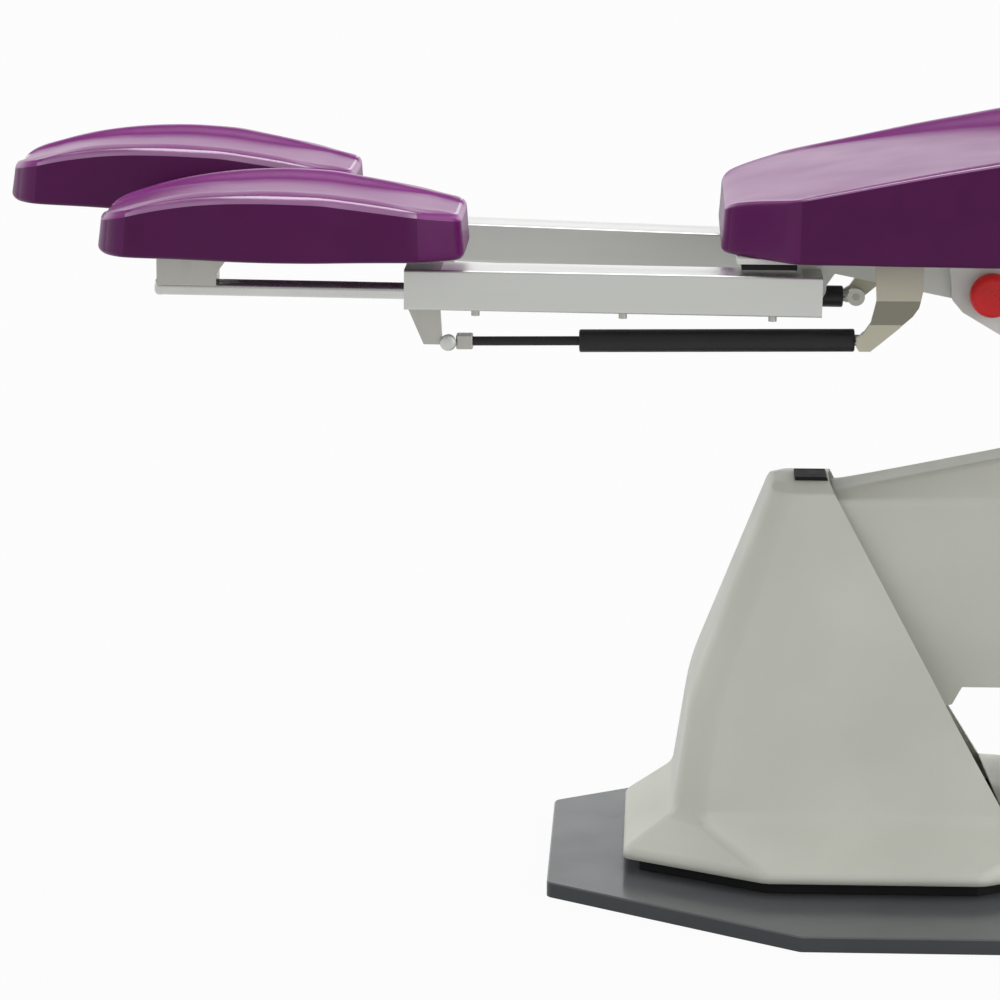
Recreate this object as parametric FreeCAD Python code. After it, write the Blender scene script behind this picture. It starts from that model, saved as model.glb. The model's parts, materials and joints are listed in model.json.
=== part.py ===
import FreeCAD, Part
import math
import os

V = FreeCAD.Vector
os.makedirs("parts", exist_ok=True)

# Frame: origin on the floor under the middle of the base plate, +X to the head end, +Z up, millimetres.
# "near" is the -Y side of the chair and "far" the +Y side.

# General fits
RUN = 0.05          # radial clearance of a pin or bar that turns or slides
SOFT_GAP = 0.3      # gap round upholstered pieces
SHEET = 3.0         # wall of formed sheet covers

# Base plate
PLATE_LENGTH = 900.0
PLATE_WIDTH = 644.0
PLATE_THICK = 17.0
PLATE_CUT_X = 274.0
PLATE_CUT_Y = 170.0
PLATE_CORNER_R = 12.0
PLATE_EDGE = 1.5

# Apron and tower cover
APRON_FRONT = -366.0
APRON_REAR = 181.0
APRON_HALF = 199.0
APRON_CUT_X = 155.0
APRON_CUT_Y = 83.0
APRON_BOTTOM = 34.0
APRON_LIP = 10.0            # upright band at the apron's foot
CREASE_Z = 84.0
CREASE_FRONT = -312.0
CREASE_REAR = 152.0
CREASE_HALF = 128.0
COVER_CORNER = 27.0
COVER_WALL = 4.0
KNEE_Z = 215.0
KNEE_FRONT = -293.0
KNEE_HALF = 104.0
SHOULDER_Z = 440.0
SHOULDER_FRONT = -208.0
SHOULDER_HALF = 66.0
SHOULDER_CORNER = 20.0
TOP_Z = 445.0
TOP_FRONT = -202.0
TOP_HALF = 30.0
TOP_CORNER = 8.0
SEAM_TOP_X = -142.0
SEAM_TOP_Z = 432.0
SEAM_RUN = 0.556            # how far the rear edge moves back per unit of height lost
SEAM_LAP = 9.0              # how far the tower's sides reach back past the seam, over the arm cover
TOWER_MOUTH = 40.0          # depth behind the seam that the open rear is cut to
FLANGE_THICK = 4.0
PLINTH_INSET = 18.0
PLINTH_WALL = 20.0
PLINTH_TOP = 44.0
INSERT_FRONT = -178.0
INSERT_REAR = -152.0
INSERT_HALF = 22.0
INSERT_THICK = 4.5

# Rear saddle cover
SADDLE_TOP = 132.0
SADDLE_FRONT = 75.0
SADDLE_RAKE = 12.0          # how far its front wall leans back
HATCH_MARGIN = 22.0
SADDLE_REAR = 150.0
SADDLE_REAR_TOP = 120.0
SADDLE_HALF = 122.0
SADDLE_BEVEL_Y = 16.0
SADDLE_BEVEL_Z = 20.0
SADDLE_BREAK = 115.0

# Lift mechanism pivots (x, z)
ARM_LOW = V(-150.0, 0, 385.0)
LINK_LOW = V(-90.0, 0, 250.0)
ARM_REACH = V(423.0, 0, 78.0)
LIFT_LOW = V(-262.0, 0, 78.0)
LIFT_HIGH = V(150.0, 0, 425.0)
MAIN_PIN_R = 10.0
LINK_PIN_R = 8.0
ACTUATOR_PIN_R = 7.0
FRAME_INNER = 30.0          # half gap between the tower frame's uprights
FRAME_PLATE = 6.0
ARM_INNER = 38.0
ARM_PLATE = 8.0
ARM_HALF_DEPTH = 22.0
LINK_INNER = 48.0
LINK_PLATE = 5.0
LINK_HALF_DEPTH = 18.0
PIN_REACH = 54.0            # half length of the long pivot pins
FOOT_THICK = 12.0
FOOT_HALF = 85.0
FOOT_FRONT = -300.0
FOOT_REAR = 140.0
FOOT_BOLT_R = 6.0
FOOT_BOLT_HEAD_R = 9.0
FOOT_BOLT_HEAD = 7.5

# Arm cover
ARM_COVER_HALF = 60.0
ARM_COVER_TOP_HALF = 30.0
ARM_COVER_START = -150.0
ARM_COVER_END = 195.0
ARM_COVER_KINK = 60.0
ARM_COVER_SHOULDER = 431.0
ARM_COVER_SHOULDER_END = 459.0
ARM_COVER_TOP = 433.0
ARM_COVER_SLOPE = 0.207
ARM_COVER_BOTTOM = 220.0
ARM_COVER_BOTTOM_END = 310.0
ARM_COVER_CORNER = 14.0
ARM_COVER_GAP = 4.0
ARM_COVER_ROOF = 150.0      # height above the cover's top that its side outline is drawn to
ARM_COVER_LEAN = 9.0        # extra gap at that height, room for the arm to swing up
ARM_COVER_SKIRT = 60.0      # depth below the lower edge that the sections are drawn to

# Lift actuator
LIFT_BODY_R = 22.0
LIFT_BODY_START = 26.0
LIFT_BODY_END = 330.0
LIFT_ROD_R = 12.0
LIFT_ROD_CLEAR = 0.6
LIFT_ROD_START = 165.0
EYE_R = 16.0
EYE_HALF = 14.0

# Carriage
CARRIAGE_HALF = 70.0
CARRIAGE_WIDE_HALF = 118.0  # front part of the cover, which encloses the seat frame's webs
CARRIAGE_WIDE_REAR = 235.0
CARRIAGE_INNER = 28.0
CARRIAGE_PLATE = 8.0
CARRIAGE_REAR = 300.0
CARRIAGE_FLOOR = 552.0
CARRIAGE_FRONT = -23.0
# front edge of the carriage cover: distance behind its front, depth below the seat plate
CARRIAGE_NOSE = ((0.0, 0.0), (2.0, 17.0), (5.0, 45.0), (16.0, 58.0), (58.0, 83.0))
CARRIAGE_BEND = 140.0       # x where the cover's slanted bottom meets its floor
CARRIAGE_FLAT = 200.0
CARRIAGE_MOUTH = 225.0      # x where the floor's slot for the carriage plates starts
# front edge of a carriage plate: x, and depth below the seat plate
PLATE_NOSE = ((0.0, 0.0), (0.0, 38.0), (20.0, 58.0), (140.0, 134.0), (240.0, 150.0))
TIE_X = 200.0
TIE_THICK = 10.0
TIE_DEPTH = 24.0
STOP_X = 23.0
STOP_Z = 673.0
STOP_R = 24.0
STOP_STEM_R = 10.0
STOP_COLLAR_R = 19.0
STOP_COLLAR_THICK = 5.0
STOP_TRAVEL = 5.0
STOP_CAP = 11.0

# Seat frame, board and cushion
SEAT_Z = 716.0
SEAT_PLATE = 6.0
SEAT_PLATE_FRONT = -250.0
SEAT_PLATE_REAR = 290.0     # also the webs' rear end
SEAT_PLATE_HALF = 166.0
WEB_INNER = 98.0
WEB_PLATE = 6.0
WEB_ROOM = 1.0              # room round a web where it passes the carriage cover
# side outline of a web: x, and depth below the seat plate
WEB_ROWS = ((-186.0, 0.0), (-160.0, 16.0), (-18.0, 45.0), (120.0, 65.0), (230.0, 70.0), (290.0, 55.0))
BOARD = 12.0
SEAT_FRONT = -269.5
SEAT_REAR = 236.0
SEAT_BOARD_MARGIN = 45.0

# Leg rests
LEG_Y = -139.0
LEG_PIVOT = V(-170.0, 0, 675.5)
LEG_PITCH_NEAR = 0.7        # degrees above level
LEG_PITCH_FAR = 1.9
LEG_SHAFT_R = 8.0
LEG_SHAFT_REACH = 160.0
LEG_LUG_HALF = 16.0         # half width of the lug round the leg shaft
LEG_LUG_FOOT = 40.0         # rear end of the lug's root, behind the shaft
TUBE_HALF_WIDTH = 30.0
TUBE_HALF_HEIGHT = 21.7
TUBE_WALL = 3.0
TUBE_RADIUS = 3.0
TUBE_REAR = -10.0           # all leg lengths count outwards from the pivot, so they are negative
TUBE_FRONT = -394.0
BLOCK_FRONT = -433.0
HINGE_BLOCK_REAR = 11.0
SPIGOT = 20.0
SPIGOT_CLEAR = 0.2
SCREW_PLACES = (-357.0, -200.0, -41.0)
SCREW_R = 2.5
SCREW_HEAD_R = 4.5
SCREW_HEAD = 6.0
SCREW_SIDE = 20.0           # screws sit this far to the outer side of the tube's middle
BAR_R = 9.0
BAR_DROP = 6.0
BAR_LENGTH = 505.0
BAR_END = -695.0
FOOT_BRACKET_FRONT = -699.0
FOOT_BRACKET_REAR = -616.0
FOOT_BRACKET_WAIST = -635.0
FOOT_BRACKET_HALF = 17.0
PAD_Z = 36.5
PAD_START = -760.5
PAD_LENGTH = 391.0
PAD_HALF = 119.0
PAD_SHIFT = 14.0            # pads sit closer together than their tubes
PAD_BOARD_MARGIN = 34.0
FAR_EXTENSION = 135.5
BUMPER_FRONT = -245.0
BUMPER_REAR = -186.0
BUMPER_THICK = 6.4
BUMPER_HALF = 25.0

# Gas springs
SPRING_HOOK = V(-108.0, 0, 625.0)
SPRING_BALL = V(-386.5, 0, -59.7)   # from the leg pivot
BALL_R = 7.5
SPRING_R = 12.3
SPRING_ROD_R = 5.0
SPRING_FRONT = 309.0        # cylinder's open end, measured along the axis from the hook
SPRING_REAR = 15.0
SPRING_ROD_TAIL = 150.0
SPRING_EYE_R = 10.0
SPRING_EYE_HALF = 6.0
SPRING_PIN_R = 4.0
SOCKET_LENGTH = 18.0
SOCKET_HALF = 8.0
SOCKET_GAP = 0.8
HOOK_PLATE = 7.0
HOOK_SIDE_GAP = 7.0
HOOK_FOLD = 48.0            # height of the fold above the spring's pivot
HOOK_KNEE = 20.0            # height where the sloping part ends
TAB_HALF = 6.0
TAB_ROOT = 8.7

# Backrest
BACK_PIVOT = V(330.0, 0, 690.0)
BACK_LEAN = 28.0            # degrees back from upright
BACK_SHAFT_R = 10.0
BACK_SHAFT_REACH = 132.0
BACK_HUB_R = 17.0
BACK_HUB_HALF = 112.0
BACK_LUG_INNER = 118.0
BACK_LUG = 8.0
BACK_LUG_R = 22.0
BACK_LUG_REACH = 70.0       # how far the lug runs forward of the back shaft
BACK_ROOT_REACH = 90.0
BACK_ROOT_DROP = 15.0
RAIL_INNER = 80.0
RAIL_WIDTH = 30.0
RAIL_FRONT = 28.0           # depth of the rails in front of the pivot line
RAIL_BACK = 4.0
RAIL_TOP = 640.0
CROSS_DEPTH = 40.0
LOW_CROSS = 150.0
LOW_CROSS_DEPTH = 30.0
BACK_BOTTOM = 70.0
BACK_LENGTH = 690.0
BACK_FACE = 120.0
BACK_HALF_LOW = 226.0
BACK_HALF_TOP = 196.0
BACK_MARGIN = 40.0
CRANK_R = 80.0
CRANK_X = -4.0
CRANK_INNER = 17.0
CRANK_PLATE = 6.0
CRANK_SLOT = 13.5
CRANK_SLOT_HALF = 8.3
CRANK_PIN_R = 6.0
CRANK_PIN_REACH = 25.0

# Back actuator
BACK_DRIVE = V(40.0, 0, 668.0)
BACK_BODY_R = 20.0
BACK_BODY_START = 18.0
BACK_BODY_END = 175.0
BACK_ROD_R = 9.0
BACK_ROD_START = 100.0
BACK_EYE_R = 14.0

# Headrest
HEAD_ROD_R = 6.0
HEAD_ROD_Y = 60.0
HEAD_ROD_LOW = 540.0
HEAD_ROD_TOP = 850.0
HEAD_ROD_DEPTH = 16.0
HEAD_LOW = 775.0
HEAD_HEIGHT = 150.0
HEAD_HALF = 140.0
HEAD_BACK = 2.0
HEAD_FACE = 92.0

# Armrests
ARMREST_PIVOT = V(290.0, 0, 905.0)
POST_INNER = 268.0
POST_OUTER = 292.0
POST_HALF = 15.0
POST_FLOOR = 690.0
POST_ARM = 18.0
ARM_LUG = 10.0
ARM_LUG_R = 14.0
ARM_PIN_R = 6.0
BEAM_FRONT = -205.0
BEAM_UP = 20.0
BEAM_DOWN = 12.0
ARMPAD_FRONT = -215.0
ARMPAD_REAR = 15.0
ARMPAD_HALF = 35.0
ARMPAD_THICK = 34.0

# Control box and mains inlet
BOX_FRONT = 45.0
BOX_REAR = 130.0
BOX_HALF = 75.0
BOX_HEIGHT = 46.0
INLET_Z = 101.0
INLET_HALF_Y = 14.0
INLET_HALF_Z = 10.0
INLET_FLANGE_Y = 25.0
INLET_FLANGE_Z = 14.0
INLET_FLANGE = 2.5
INLET_DEPTH = 24.0
INLET_SOCKET = 16.0
INLET_WALL = 2.5


# Basic shapes

def box(x0, x1, y0, y1, z0, z1):
    return Part.makeBox(x1 - x0, y1 - y0, z1 - z0, V(x0, y0, z0))


def cross_pin(at, radius, y0, y1):
    return Part.makeCylinder(radius, y1 - y0, V(at.x, y0, at.z), V(0, 1, 0))


def rod(start, end, radius):
    along = end - start
    return Part.makeCylinder(radius, along.Length, start, along)


def side_prism(points, y0, y1):
    outline = [V(x, y0, z) for x, z in points]
    face = Part.Face(Part.makePolygon(outline + outline[:1]))
    return face.extrude(V(0, y1 - y0, 0))


def end_prism(points, x0, x1):
    outline = [V(x0, y, z) for y, z in points]
    face = Part.Face(Part.makePolygon(outline + outline[:1]))
    return face.extrude(V(x1 - x0, 0, 0))


def plan_wire(points, z):
    outline = [V(x, y, z) for x, y in points]
    return Part.makePolygon(outline + outline[:1])


def plan_prism(points, z0, z1):
    return Part.Face(plan_wire(points, z0)).extrude(V(0, 0, z1 - z0))


def loft(wires):
    return Part.makeLoft(wires, True, True)


def mirrored(shape):
    return shape.mirror(V(0, 0, 0), V(0, 1, 0))


def both_sides(shape):
    return [shape, mirrored(shape)]


def strap(a, b, radius, y0, y1):
    # flat bar with round ends between two pivots
    along = b - a
    across = V(-along.z, 0, along.x)
    across.normalize()
    across = across * radius
    corners = [a + across, b + across, b - across, a - across]
    middle = side_prism([(p.x, p.z) for p in corners], y0, y1)
    return middle.fuse([cross_pin(a, radius, y0, y1), cross_pin(b, radius, y0, y1)]).removeSplitter()


def joined(first, *others):
    return first.fuse(list(others)).removeSplitter()


def save(name, shape):
    solids = shape if isinstance(shape, list) else [shape]
    pieces = [piece for item in solids for piece in item.Solids]
    out = pieces[0] if len(pieces) == 1 else Part.makeCompound(pieces)
    out.exportStep("parts/%s.step" % name)


# Outlines of the base

def octagon(x0, x1, half, cut_x, cut_y, inset=0.0):
    length = math.hypot(cut_x, cut_y)
    shift_x = inset * (length - cut_x) / cut_y
    shift_y = inset * (length - cut_y) / cut_x
    left, right, side = x0 + inset, x1 - inset, half - inset
    flat_x = cut_x - inset + shift_x
    flat_y = cut_y - inset + shift_y
    return [(left + flat_x, -side), (right - flat_x, -side), (right, flat_y - side), (right, side - flat_y),
            (right - flat_x, side), (left + flat_x, side), (left, side - flat_y), (left, flat_y - side)]


def seam_x(z):
    return SEAM_TOP_X + (SEAM_TOP_Z - z) * SEAM_RUN


def apron_outline(inset):
    return octagon(APRON_FRONT, APRON_REAR, APRON_HALF, APRON_CUT_X, APRON_CUT_Y, inset)


def crease_outline(inset):
    return octagon(CREASE_FRONT, CREASE_REAR, CREASE_HALF, COVER_CORNER, COVER_CORNER, inset)


def tower_section(z, front, half, corner, rear):
    return plan_wire([(rear, -half), (rear, half), (front + corner, half), (front, half - corner),
                      (front, corner - half), (front + corner, -half)], z)


def tower_loft(wall, rear_reach):
    # rear_reach: how far each level's rear edge lies behind the seam, from the foot up
    rows = [(CREASE_Z - wall, CREASE_FRONT, CREASE_HALF, COVER_CORNER),
            (KNEE_Z, KNEE_FRONT, KNEE_HALF, COVER_CORNER),
            (SHOULDER_Z - wall, SHOULDER_FRONT, SHOULDER_HALF, SHOULDER_CORNER),
            (TOP_Z - wall, TOP_FRONT, TOP_HALF, TOP_CORNER)]
    wires = []
    for (z, front, half, corner), reach in zip(rows, rear_reach):
        wires.append(tower_section(z, front + wall, half - wall, corner, seam_x(z) + reach))
    return loft(wires)


# Base

def base_plate():
    outline = octagon(-PLATE_LENGTH / 2, PLATE_LENGTH / 2, PLATE_WIDTH / 2, PLATE_CUT_X, PLATE_CUT_Y)
    plate = plan_prism(outline, 0, PLATE_THICK)
    uprights = [e for e in plate.Edges if abs(e.Vertexes[0].Z - e.Vertexes[1].Z) > PLATE_THICK / 2]
    plate = plate.makeFillet(PLATE_CORNER_R, uprights)
    rim = [e for e in plate.Edges if min(v.Z for v in e.Vertexes) > PLATE_THICK - 0.1]
    plate = plate.makeChamfer(PLATE_EDGE, rim)
    return plate.cut(foot_bolt_shanks())


def foot_bolt_places():
    spots = []
    for x in (FOOT_FRONT + 25, FOOT_REAR - 25):
        for y in (20 - FOOT_HALF, FOOT_HALF - 20):
            spots.append((x, y))
    return spots


def foot_bolt_shanks():
    low = PLATE_THICK / 3
    high = PLATE_THICK + FOOT_THICK
    return [Part.makeCylinder(FOOT_BOLT_R, high - low, V(x, y, low)) for x, y in foot_bolt_places()]


def frame_bolts():
    top = PLATE_THICK + FOOT_THICK
    bolts = []
    for (x, y), shank in zip(foot_bolt_places(), foot_bolt_shanks()):
        head = Part.makeCylinder(FOOT_BOLT_HEAD_R, FOOT_BOLT_HEAD, V(x, y, top))
        bolts.append(joined(shank, head))
    return bolts


def plinth():
    outer = plan_prism(apron_outline(PLINTH_INSET), PLATE_THICK, PLINTH_TOP)
    return outer.cut(plan_prism(apron_outline(PLINTH_INSET + PLINTH_WALL), PLATE_THICK, PLINTH_TOP))


def apron_solid(wall):
    band_top = APRON_BOTTOM + APRON_LIP
    band = plan_prism(apron_outline(wall), APRON_BOTTOM, band_top)
    slope = loft([plan_wire(apron_outline(wall), band_top), plan_wire(crease_outline(wall), CREASE_Z - wall)])
    return joined(band, slope)


def tower_cover():
    shell = joined(apron_solid(0), tower_loft(0, (SEAM_LAP, SEAM_LAP, SEAM_LAP, 0)))
    mouth = tower_loft(COVER_WALL, (SEAM_LAP, TOWER_MOUTH, TOWER_MOUTH, TOWER_MOUTH))
    shell = shell.cut([apron_solid(COVER_WALL), mouth])
    flange = plan_prism(apron_outline(COVER_WALL / 2), PLINTH_TOP, PLINTH_TOP + FLANGE_THICK)
    flange = flange.cut(plan_prism(apron_outline(PLINTH_INSET + PLINTH_WALL), PLINTH_TOP, CREASE_Z))
    flange = flange.common(apron_solid(COVER_WALL / 2))
    hatch = box(SADDLE_FRONT + HATCH_MARGIN, SADDLE_REAR - HATCH_MARGIN, -BOX_HALF, BOX_HALF,
                PLINTH_TOP, CREASE_Z)
    return joined(shell, flange).cut(hatch)


def tower_insert():
    pad = box(INSERT_FRONT, INSERT_REAR, -INSERT_HALF, INSERT_HALF, TOP_Z, TOP_Z + INSERT_THICK)
    rim = [e for e in pad.Edges if min(v.Z for v in e.Vertexes) > TOP_Z + 1]
    return pad.makeFillet(2, rim)


def saddle_solid(wall):
    low = CREASE_Z
    high = SADDLE_TOP - wall
    front = SADDLE_FRONT + wall
    profile = [(front, low), (front + SADDLE_RAKE, high), (SADDLE_BREAK, high - 2),
               (SADDLE_REAR - wall, SADDLE_REAR_TOP - wall), (SADDLE_REAR - wall, low)]
    half = SADDLE_HALF - wall
    body = side_prism(profile, -half, half)
    flank = high - SADDLE_BEVEL_Z
    crown = half - SADDLE_BEVEL_Y
    across = [(-half, low), (half, low), (half, flank), (crown, high), (-crown, high), (-half, flank)]
    return body.common(end_prism(across, 0, SADDLE_REAR))


def inlet_opening():
    return box(SADDLE_REAR - INLET_DEPTH, SADDLE_REAR, -INLET_HALF_Y, INLET_HALF_Y,
               INLET_Z - INLET_HALF_Z, INLET_Z + INLET_HALF_Z)


def rear_cover():
    return saddle_solid(0).cut([saddle_solid(SHEET), inlet_opening()])


def mains_inlet():
    flange = box(SADDLE_REAR, SADDLE_REAR + INLET_FLANGE, -INLET_FLANGE_Y, INLET_FLANGE_Y,
                 INLET_Z - INLET_FLANGE_Z, INLET_Z + INLET_FLANGE_Z)
    mouth = SADDLE_REAR + INLET_FLANGE
    socket = box(mouth - INLET_SOCKET, mouth, INLET_WALL - INLET_HALF_Y, INLET_HALF_Y - INLET_WALL,
                 INLET_Z - INLET_HALF_Z + INLET_WALL, INLET_Z + INLET_HALF_Z - INLET_WALL)
    body = joined(inlet_opening(), flange).cut(socket)
    for y, z in ((-7, -1.5), (0, 1.5), (7, -1.5)):
        start = mouth - INLET_SOCKET - 1
        blade = box(start, start + INLET_SOCKET - 6, y - 1, y + 1, INLET_Z + z - 2, INLET_Z + z + 2)
        body = body.fuse(blade)
    return body.removeSplitter()


def control_box():
    floor = PLATE_THICK + FOOT_THICK
    case = box(BOX_FRONT, BOX_REAR, -BOX_HALF + 5, BOX_HALF - 5, floor, floor + BOX_HEIGHT)
    uprights = [e for e in case.Edges if abs(e.Vertexes[0].Z - e.Vertexes[1].Z) > 1]
    return case.makeFillet(5, uprights).cut(foot_bolt_space())


def foot_bolt_space():
    top = PLATE_THICK + FOOT_THICK
    room = FOOT_BOLT_HEAD + 2
    return [Part.makeCylinder(FOOT_BOLT_HEAD_R + 2, room, V(x, y, top)) for x, y in foot_bolt_places()]


def tower_frame():
    floor = PLATE_THICK + FOOT_THICK
    foot = box(FOOT_FRONT, FOOT_REAR, -FOOT_HALF, FOOT_HALF, PLATE_THICK, floor)
    front = LIFT_LOW.x - 28
    top = ARM_LOW.z + 26
    outline = [(front, floor), (front, LIFT_LOW.z + 20), (LIFT_LOW.x + 24, LIFT_LOW.z + 32),
               (ARM_LOW.x - 30, ARM_LOW.z), (ARM_LOW.x - 16, top), (ARM_LOW.x + 14, top),
               (ARM_LOW.x + 30, ARM_LOW.z + 4), (LINK_LOW.x + 28, LINK_LOW.z + 12),
               (LINK_LOW.x + 32, LINK_LOW.z - 18), (LINK_LOW.x + 105, floor)]
    upright = side_prism(outline, FRAME_INNER, FRAME_INNER + FRAME_PLATE)
    frame = joined(foot, *both_sides(upright))
    return frame.cut(base_pins() + foot_bolt_shanks())


def base_pins():
    outer = FRAME_INNER + FRAME_PLATE
    stubs = both_sides(cross_pin(LINK_LOW, LINK_PIN_R, FRAME_INNER, PIN_REACH))
    return stubs + [cross_pin(ARM_LOW, MAIN_PIN_R, -PIN_REACH, PIN_REACH),
                    cross_pin(LIFT_LOW, ACTUATOR_PIN_R, -outer, outer)]


# Lift actuator

def lift_point(distance):
    along = LIFT_HIGH - LIFT_LOW
    along.normalize()
    return LIFT_LOW + along * distance


def lift_motor():
    eye = cross_pin(LIFT_LOW, EYE_R, -EYE_HALF, EYE_HALF)
    neck = rod(lift_point(0), lift_point(LIFT_BODY_START), EYE_HALF - 2)
    body = rod(lift_point(LIFT_BODY_START), lift_point(LIFT_BODY_END), LIFT_BODY_R)
    whole = joined(body, neck, eye)
    bore = rod(lift_point(LIFT_BODY_START + 20), lift_point(LIFT_BODY_END), LIFT_ROD_R + LIFT_ROD_CLEAR)
    return whole.cut([bore, cross_pin(LIFT_LOW, ACTUATOR_PIN_R + RUN, -EYE_HALF, EYE_HALF)])


def lift_rod():
    reach = (LIFT_HIGH - LIFT_LOW).Length
    bar = rod(lift_point(LIFT_ROD_START), lift_point(reach), LIFT_ROD_R)
    eye = cross_pin(LIFT_HIGH, EYE_R, -EYE_HALF, EYE_HALF)
    return joined(bar, eye).cut(cross_pin(LIFT_HIGH, ACTUATOR_PIN_R + RUN, -EYE_HALF, EYE_HALF))


# Lift arm and parallel link

ARM_HIGH = ARM_LOW + ARM_REACH
LINK_HIGH = LINK_LOW + ARM_REACH
SPACER_R = 14.0
SPACER_PLACES = (0.22, 0.6)        # along the arm, as fractions of its reach


def arm_frame():
    outer = ARM_INNER + ARM_PLATE
    plate = strap(ARM_LOW, ARM_HIGH, ARM_HALF_DEPTH, ARM_INNER, outer)
    spacers = [cross_pin(ARM_LOW + ARM_REACH * part, SPACER_R, -outer, outer) for part in SPACER_PLACES]
    frame = joined(spacers[0], spacers[1], *both_sides(plate))
    return frame.cut([cross_pin(ARM_LOW, MAIN_PIN_R + RUN, -outer, outer),
                      cross_pin(ARM_HIGH, MAIN_PIN_R + RUN, -outer, outer), arm_pin()])


def arm_pin():
    outer = ARM_INNER + ARM_PLATE
    return cross_pin(LIFT_HIGH, ACTUATOR_PIN_R, -outer, outer)


def arm_cover_section(x, wall):
    half = ARM_COVER_HALF - wall
    crown = ARM_COVER_TOP_HALF - wall / 2
    bend = max(0.0, x - ARM_COVER_KINK) / (ARM_COVER_END - ARM_COVER_KINK)
    shoulder = ARM_COVER_SHOULDER + bend * (ARM_COVER_SHOULDER_END - ARM_COVER_SHOULDER) - wall / 2
    top = ARM_COVER_TOP + (x - ARM_COVER_START) * ARM_COVER_SLOPE - wall
    low = ARM_COVER_BOTTOM - ARM_COVER_SKIRT
    outline = [V(x, -half, low), V(x, half, low), V(x, half, shoulder), V(x, crown, top), V(x, -crown, top),
               V(x, -half, shoulder)]
    return Part.makePolygon(outline + outline[:1])


def arm_cover_body(wall, start, end):
    return loft([arm_cover_section(x, wall) for x in (start, ARM_COVER_KINK, end)])


def arm_cover():
    shell = arm_cover_body(0, ARM_COVER_START, ARM_COVER_END)
    shell = shell.cut(arm_cover_body(SHEET, ARM_COVER_START - 10, ARM_COVER_END + 10))
    roof = ARM_COVER_TOP + ARM_COVER_ROOF
    lead = ARM_COVER_GAP
    profile = [(seam_x(roof) + lead + ARM_COVER_LEAN, roof),
               (seam_x(ARM_COVER_BOTTOM) + lead, ARM_COVER_BOTTOM),
               (ARM_COVER_KINK, ARM_COVER_BOTTOM), (ARM_COVER_END, ARM_COVER_BOTTOM_END),
               (ARM_COVER_END, roof)]
    keep = side_prism(profile, -ARM_COVER_HALF, ARM_COVER_HALF)
    corner_x = seam_x(ARM_COVER_BOTTOM) + lead
    corner = [e for e in keep.Edges if abs(e.Length - 2 * ARM_COVER_HALF) < 0.01
              and abs(e.Vertexes[0].X - corner_x) < 0.01 and abs(e.Vertexes[0].Z - ARM_COVER_BOTTOM) < 0.01]
    keep = keep.makeFillet(ARM_COVER_CORNER, corner)
    outer = ARM_INNER + ARM_PLATE
    stays = []
    for part in SPACER_PLACES:
        spot = ARM_LOW + ARM_REACH * part
        stays += both_sides(cross_pin(spot, SPACER_R, outer, ARM_COVER_HALF - SHEET / 2))
    return joined(shell.common(keep), *stays)


def link_bars():
    bar = strap(LINK_LOW, LINK_HIGH, LINK_HALF_DEPTH, LINK_INNER, LINK_INNER + LINK_PLATE)
    outer = LINK_INNER + LINK_PLATE
    holes = [cross_pin(p, LINK_PIN_R + RUN, LINK_INNER, outer) for p in (LINK_LOW, LINK_HIGH)]
    return both_sides(bar.cut(holes))


# Carriage

def carriage_frame():
    top = SEAT_Z - SEAT_PLATE
    rear = CARRIAGE_REAR - 2 * SHEET
    outline = [(x, top - depth) for x, depth in PLATE_NOSE]
    outline += [(ARM_HIGH.x - 26, ARM_HIGH.z), (ARM_HIGH.x - 20, ARM_HIGH.z - 22),
                (LINK_HIGH.x - 26, LINK_HIGH.z - 8), (LINK_HIGH.x, LINK_HIGH.z - 24),
                (LINK_HIGH.x + 24, LINK_HIGH.z - 8), (LINK_HIGH.x + 24, LINK_HIGH.z + 16),
                (ARM_HIGH.x + 48, ARM_HIGH.z), (rear, top - PLATE_NOSE[-1][1]), (rear, top)]
    plate = side_prism(outline, CARRIAGE_INNER, CARRIAGE_INNER + CARRIAGE_PLATE)
    tie = box(TIE_X, TIE_X + TIE_THICK, -CARRIAGE_INNER, CARRIAGE_INNER, top - TIE_DEPTH, top)
    return joined(tie, *both_sides(plate)).cut(carriage_pins())


def carriage_pins():
    outer = CARRIAGE_INNER + CARRIAGE_PLATE
    return [cross_pin(ARM_HIGH, MAIN_PIN_R, -PIN_REACH, PIN_REACH),
            cross_pin(LINK_HIGH, LINK_PIN_R, -PIN_REACH, PIN_REACH),
            cross_pin(BACK_DRIVE, ACTUATOR_PIN_R, -outer, outer)]


def carriage_outline(inset):
    top = SEAT_Z - SEAT_PLATE
    front = CARRIAGE_FRONT + inset
    rear = CARRIAGE_REAR - inset
    low = CARRIAGE_FLOOR + inset
    lift = (0, 0, 0, inset, 1.15 * inset)
    nose = [(front + x, top - depth + up) for (x, depth), up in zip(CARRIAGE_NOSE, lift)]
    return nose + [(CARRIAGE_BEND + inset / 2, low + 8), (CARRIAGE_FLAT, low), (rear, low), (rear, top)]


def carriage_shape(inset):
    outline = carriage_outline(inset)
    narrow = side_prism(outline, inset - CARRIAGE_HALF, CARRIAGE_HALF - inset)
    half = CARRIAGE_WIDE_HALF - inset
    front = box(CARRIAGE_FRONT, CARRIAGE_WIDE_REAR - inset, -half, half, CARRIAGE_FLOOR, SEAT_Z)
    return joined(narrow, side_prism(outline, -half, half).common(front))


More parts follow.
